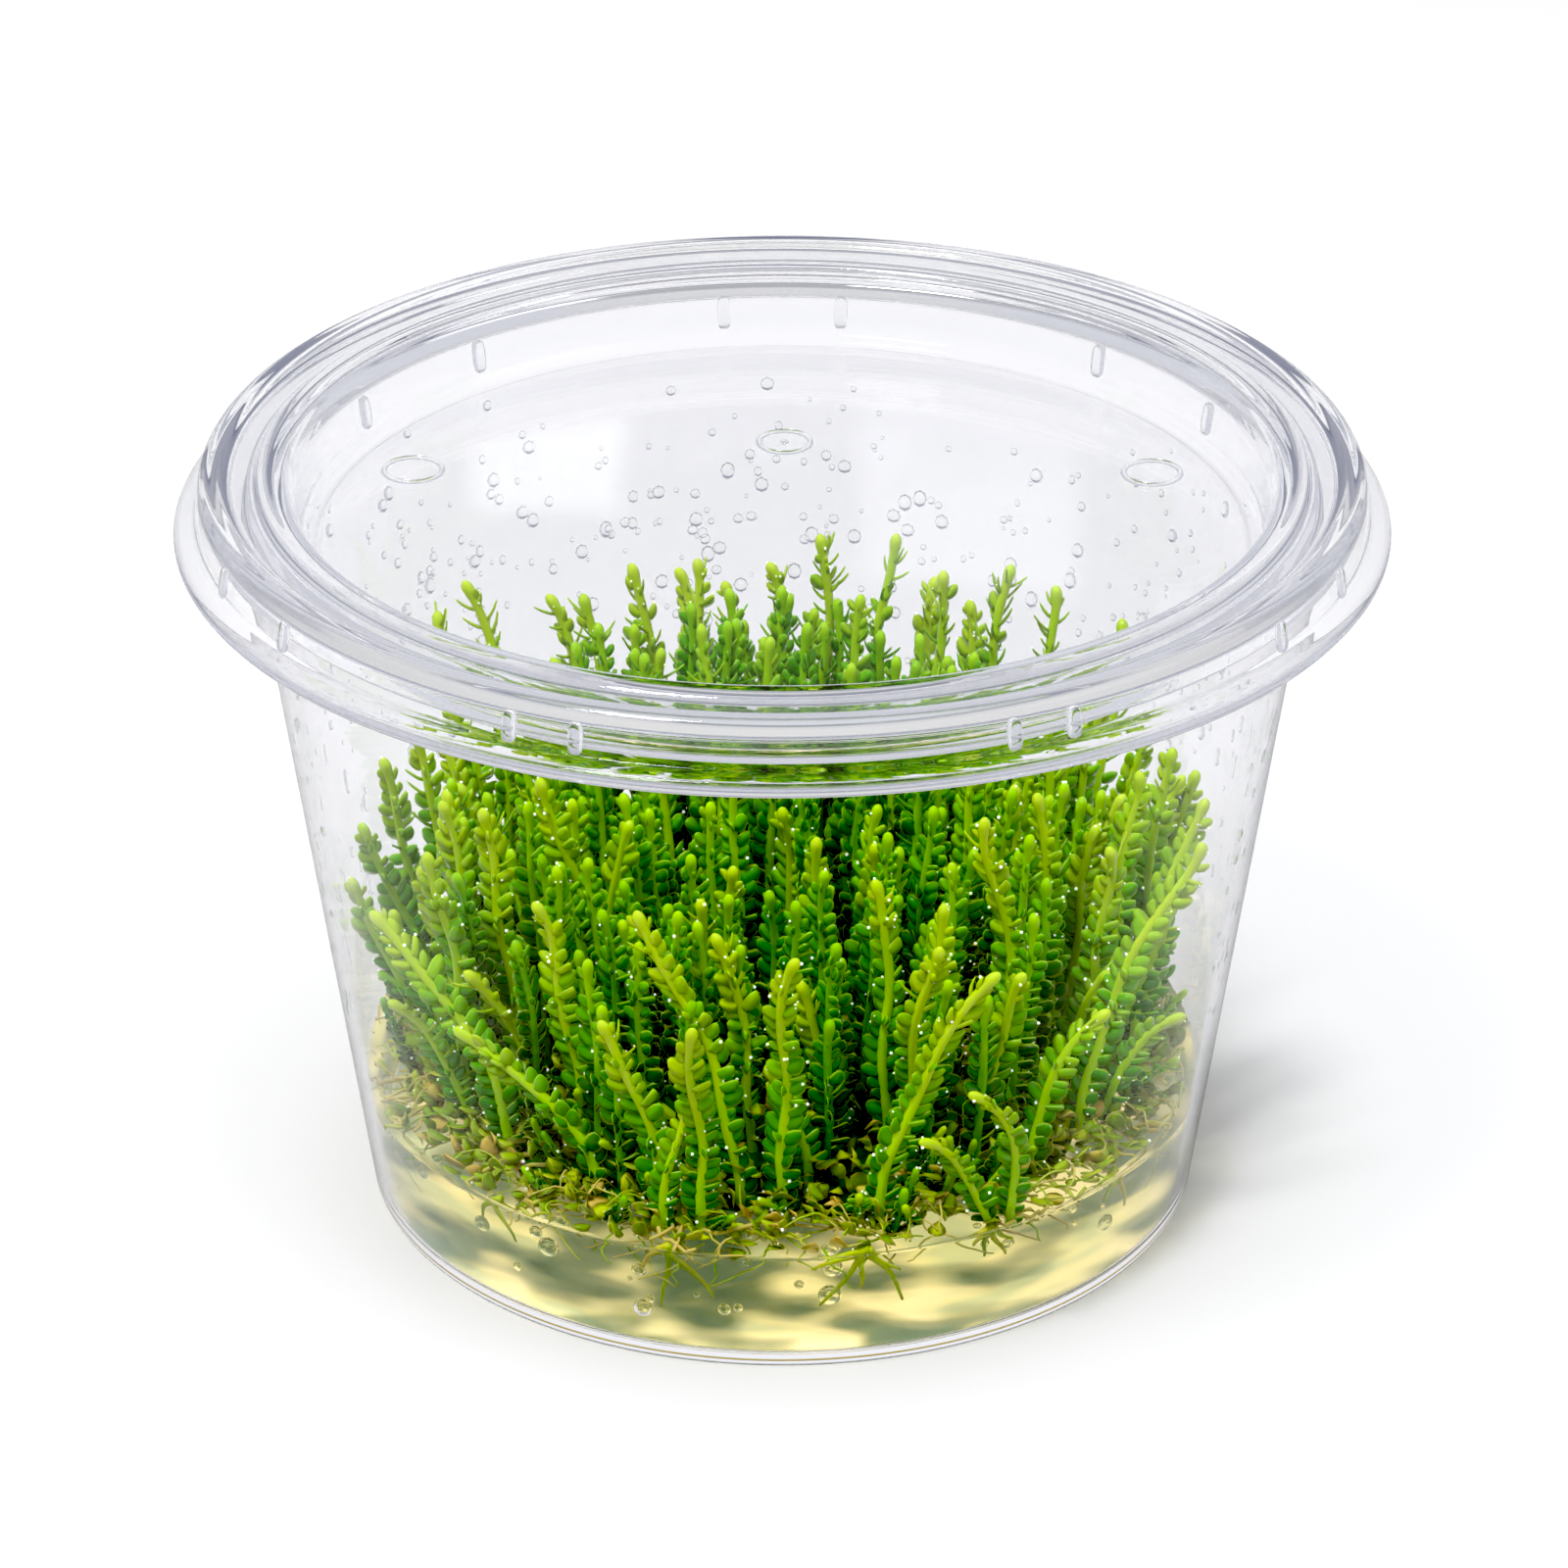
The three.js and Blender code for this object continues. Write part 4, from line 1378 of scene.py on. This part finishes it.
class MOSSCUP_OT_drops(bpy.types.Operator):
    """Bead the cup's wall with condensation and the leaves with dew"""

    bl_idname = "moss_cup.drops"
    bl_label = "Condensation and dew"

    def execute(self, context):
        drops = context.scene.moss_drops
        self.wall(drops)
        self.dew(drops)
        return {"FINISHED"}

    @staticmethod
    def wall(drops):
        """Flattened drops: none on the front of the wall, long ones at its sides, larger ones at the back."""
        rng = random.Random(53)
        origins, axes = [], []
        while len(origins) < drops.wall_drops:
            a = rng.uniform(0, TURN)
            front = -math.sin(a)
            if front > CLEAR_FRONT:
                continue
            behind = front < BACK_FROM
            z = rng.triangular(24, 56, 44) if behind else rng.uniform(20, 57)
            r = wall_inside(z) - 0.02
            out = np.array([math.cos(a), math.sin(a), 0.0])
            side = np.array([-math.sin(a), math.cos(a), 0.0])
            up = unit(np.array([math.cos(a) * WALL_SLOPE, math.sin(a) * WALL_SLOPE, 1.0]))
            size = rng.choice((0.14, 0.18, 0.22, 0.28, 0.36, 0.48))
            size *= BACK_SCALE if behind else 1.0
            long = size * rng.choice((1.0, 1.1, 1.25) if behind else (1.0, 1.3, 1.9, 2.6))
            origins.append(out * r + np.array([0, 0, z]))
            axes.append(np.stack([side * size, up * long, -out * size * 0.6]))
        gather = Gather()
        form = ball(8, 6)
        gather.copies((form[0], form[1][:, ::-1], form[2]), np.array(origins), np.array(axes))
        gather.settle("condensation", ["water_drop"], "clear_plastic")

    @staticmethod
    def dew(drops):
        """Tiny drops on leaves and stems, shared out by how many points each piece has."""
        rng = random.Random(59)
        meshes = {o.name: o.data for o in bpy.data.objects if o.name.startswith(SPRINKLED)}
        total = sum(len(mesh.vertices) for mesh in meshes.values())
        spots = []
        for name in sorted(meshes):
            mesh = meshes[name]
            extra = 2.0 if name.startswith(DEWY) else 0.7
            for _ in range(int(drops.dew * extra * len(mesh.vertices) / total)):
                v = mesh.vertices[rng.randrange(len(mesh.vertices))]
                spots.append(np.array(v.co) / MM + np.array(v.normal) * 0.04)
        origins = np.array(spots)
        sizes = np.array([rng.choice((0.07, 0.09, 0.11, 0.15)) for _ in spots])
        axes = np.eye(3)[None] * sizes[:, None, None]
        gather = Gather()
        gather.copies(ball(5, 3), origins, axes)
        gather.settle("dew", ["fine_dew"], "clear_plastic")


# Stage

# Two soft windows, each with two panes one above the other: how their light grows and fades over the bearing
# from +Y, and over the height above level
BEARINGS = (-4.0, 4.0)
HEIGHTS = (23.0, 27.0)
WINDOWS = [
    ([(0.107, "#000000"), (0.143, "#FFFFFF"), (0.295, "#FFFFFF"), (0.33, "#000000")],
     [(0.115, "#000000"), (0.185, "#FFFFFF"), (0.29, "#FFFFFF"), (0.345, "#303030"), (0.4, "#E8E8E8"),
      (0.515, "#E8E8E8"), (0.585, "#000000")]),
    ([(0.57, "#000000"), (0.605, "#FFFFFF"), (0.84, "#FFFFFF"), (0.875, "#000000")],
     [(0.14, "#000000"), (0.21, "#E8E8E8"), (0.315, "#E8E8E8"), (0.37, "#606060"), (0.42, "#BCBCBC"),
      (0.715, "#BCBCBC"), (0.785, "#000000")]),
]


class MOSSCUP_OT_stage(bpy.types.Operator):
    """Set the camera, the pale floor and the soft studio light"""

    bl_idname = "moss_cup.stage"
    bl_label = "Stage"

    def execute(self, context):
        stage = context.scene.moss_stage
        self.camera(context, stage)
        self.floor(context, stage)
        self.lamps(context)
        self.world(context, stage)
        self.picture(context, stage)
        return {"FINISHED"}

    @staticmethod
    def camera(context, stage):
        data = bpy.data.cameras.new("camera")
        data.sensor_width = 36
        data.lens = stage.focal_px / IMAGE_SIZE * data.sensor_width
        data.shift_x = (IMAGE_SIZE / 2 - stage.centre_px) / IMAGE_SIZE
        data.clip_start = 0.01
        data.clip_end = 50
        camera = bpy.data.objects.new("camera", data)
        camera.location = (0, -stage.distance, stage.height)
        camera.rotation_euler = (math.pi / 2 - stage.pitch, 0, 0)
        context.scene.collection.objects.link(camera)
        context.scene.camera = camera

    @staticmethod
    def floor(context, stage):
        """Pale paint, held back in mirrored light as a polarising filter does, so walls show little haze."""
        half = 12.0
        under_cup = -0.00002
        mesh = bpy.data.meshes.new("floor")
        corners = [(-half, -half), (half, -half), (half, half), (-half, half)]
        mesh.from_pydata([(x, y, under_cup) for x, y in corners], [], [(0, 1, 2, 3)])
        tree = new_material("floor_paint")
        paint = add(tree, "BsdfPrincipled", {
            "Base Color": (*stage.floor, 1),
            "Roughness": 0.6,
            "Specular IOR Level": 0.2,
        })
        dim = add(tree, "BsdfDiffuse", {"Color": (0.4, 0.4, 0.41, 1)})
        rays = add(tree, "LightPath")
        seen = add(tree, "MixShader", {"Fac": rays.outputs["Is Reflection Ray"], 1: paint, 2: dim})
        add(tree, "OutputMaterial", {"Surface": seen})
        mesh.materials.append(bpy.data.materials["floor_paint"])
        floor = bpy.data.objects.new("floor", mesh)
        context.scene.collection.objects.link(floor)

    @staticmethod
    def lamps(context):
        """A soft key above left and a broad fill above right, both turned to the moss."""
        moss = Vector((0, 0, 0.03))
        lamps = [
            ("key", (-0.5, -0.5, 1.5), 0.4, 17.5, (1.0, 0.99, 0.97)),
            ("fill", (1.2, -0.5, 1.2), 1.0, 4.0, (0.97, 0.98, 1.0)),
        ]
        for name, place, side, watts, colour in lamps:
            data = bpy.data.lights.new(name, "AREA")
            data.size = side
            data.energy = watts
            data.color = colour
            made = bpy.data.objects.new(name, data)
            made.location = place
            made.rotation_euler = (moss - Vector(place)).to_track_quat("-Z", "Y").to_euler()
            context.scene.collection.objects.link(made)

    @staticmethod
    def picture(context, stage):
        """Plain tones with the plastic's haze levelled off, and enough bounces for light in clear walls."""
        view = context.scene.view_settings
        view.view_transform = "Standard"
        view.look = "None"
        view.use_curve_mapping = True
        view.curve_mapping.black_level = stage.black
        view.curve_mapping.update()
        paths = context.scene.cycles
        paths.max_bounces = 16
        paths.glossy_bounces = 12
        paths.transmission_bounces = 16
        paths.transparent_max_bounces = 32
        paths.diffuse_bounces = 1
        paths.use_light_tree = False

    @staticmethod
    def world(context, stage):
        """A pale room: white above, grey walls with a dark foot that clear edges catch, dimmer behind the
        viewer, and two soft windows that show in the lid's panel."""
        world = bpy.data.worlds.new("studio")
        world.use_nodes = True
        tree = world.node_tree
        tree.nodes.clear()
        way = add(tree, "TexCoord")
        split = add(tree, "SeparateXYZ", {0: way.outputs["Generated"]})
        across, ahead, up = split.outputs
        height = add(tree, "ValToRGB", {"Fac": up}, stops=[
            (0.0, "#80849E"), (0.12, "#9EA2B6"), (0.45, "#BABCC8"), (0.62, "#E9EAED"), (1.0, "#FFFFFF")])
        front = add(tree, "MapRange", {
            "Value": ahead, "From Min": -1.0, "From Max": 0.3, "To Min": 0.6, "To Max": 1.0})
        light = add(tree, "Mix", {
            "Factor": 1.0, FIRST: height, SECOND: front}, data_type="RGBA", blend_type="MULTIPLY")
        bearing = add(tree, "Math", {0: across, 1: ahead}, operation="ARCTAN2")
        rise = add(tree, "Math", {0: up}, operation="ARCSINE")
        glow = light.outputs[RESULT]
        sideways = MOSSCUP_OT_stage.share(tree, bearing, BEARINGS)
        upward = MOSSCUP_OT_stage.share(tree, rise, HEIGHTS)
        for over_bearing, over_height in WINDOWS:
            wide = add(tree, "ValToRGB", {"Fac": sideways}, stops=over_bearing)
            tall = add(tree, "ValToRGB", {"Fac": upward}, stops=over_height)
            pane = add(tree, "Math", {0: wide, 1: tall}, operation="MULTIPLY")
            lit = add(tree, "Math", {0: pane, 1: stage.pane_glow}, operation="MULTIPLY")
            glow = add(tree, "Mix", {
                "Factor": 1.0, FIRST: glow, SECOND: lit}, data_type="RGBA", blend_type="ADD").outputs[RESULT]
        sky = add(tree, "Background", {"Color": glow, "Strength": stage.room_light})
        add(tree, "OutputWorld", {"Surface": sky})
        context.scene.world = world

    @staticmethod
    def share(tree, value, span):
        """Where an angle lies in a span of degrees, from 0 to 1."""
        low, high = (math.radians(v) for v in span)
        return add(tree, "MapRange", {"Value": value, "From Min": low, "From Max": high})


class MOSSCUP_PT_panel(bpy.types.Panel):
    """Lists the steps in the sidebar"""

    bl_idname = "MOSSCUP_PT_panel"
    bl_label = "Moss Cup"
    bl_space_type = "VIEW_3D"
    bl_region_type = "UI"
    bl_category = "Moss Cup"

    def draw(self, context):
        scene = context.scene
        for group in (scene.moss_jar, scene.moss_gel, scene.moss_moss, scene.moss_drops, scene.moss_stage):
            for name in group.bl_rna.properties.keys():
                if name not in ("rna_type", "name"):
                    self.layout.prop(group, name)
        for step in STEPS:
            self.layout.operator(step.bl_idname)


STEPS = (
    MOSSCUP_OT_cup,
    MOSSCUP_OT_lid,
    MOSSCUP_OT_gel,
    MOSSCUP_OT_shoots,
    MOSSCUP_OT_between,
    MOSSCUP_OT_inner,
    MOSSCUP_OT_foot,
    MOSSCUP_OT_drops,
    MOSSCUP_OT_stage,
)
GROUPS = {
    "moss_jar": JarSettings,
    "moss_gel": GelSettings,
    "moss_moss": MossSettings,
    "moss_drops": DropSettings,
    "moss_stage": StageSettings,
}


def register():
    for name, group in GROUPS.items():
        bpy.utils.register_class(group)
        setattr(bpy.types.Scene, name, PointerProperty(type=group))
    for step in STEPS:
        bpy.utils.register_class(step)
    bpy.utils.register_class(MOSSCUP_PT_panel)


def unregister():
    bpy.utils.unregister_class(MOSSCUP_PT_panel)
    for step in reversed(STEPS):
        bpy.utils.unregister_class(step)
    for name, group in GROUPS.items():
        delattr(bpy.types.Scene, name)
        bpy.utils.unregister_class(group)


def main():
    register()
    for make in FINISHES:
        make()
    for step in STEPS:
        area, name = step.bl_idname.split(".")
        getattr(getattr(bpy.ops, area), name)()


if __name__ == "__main__":
    main()
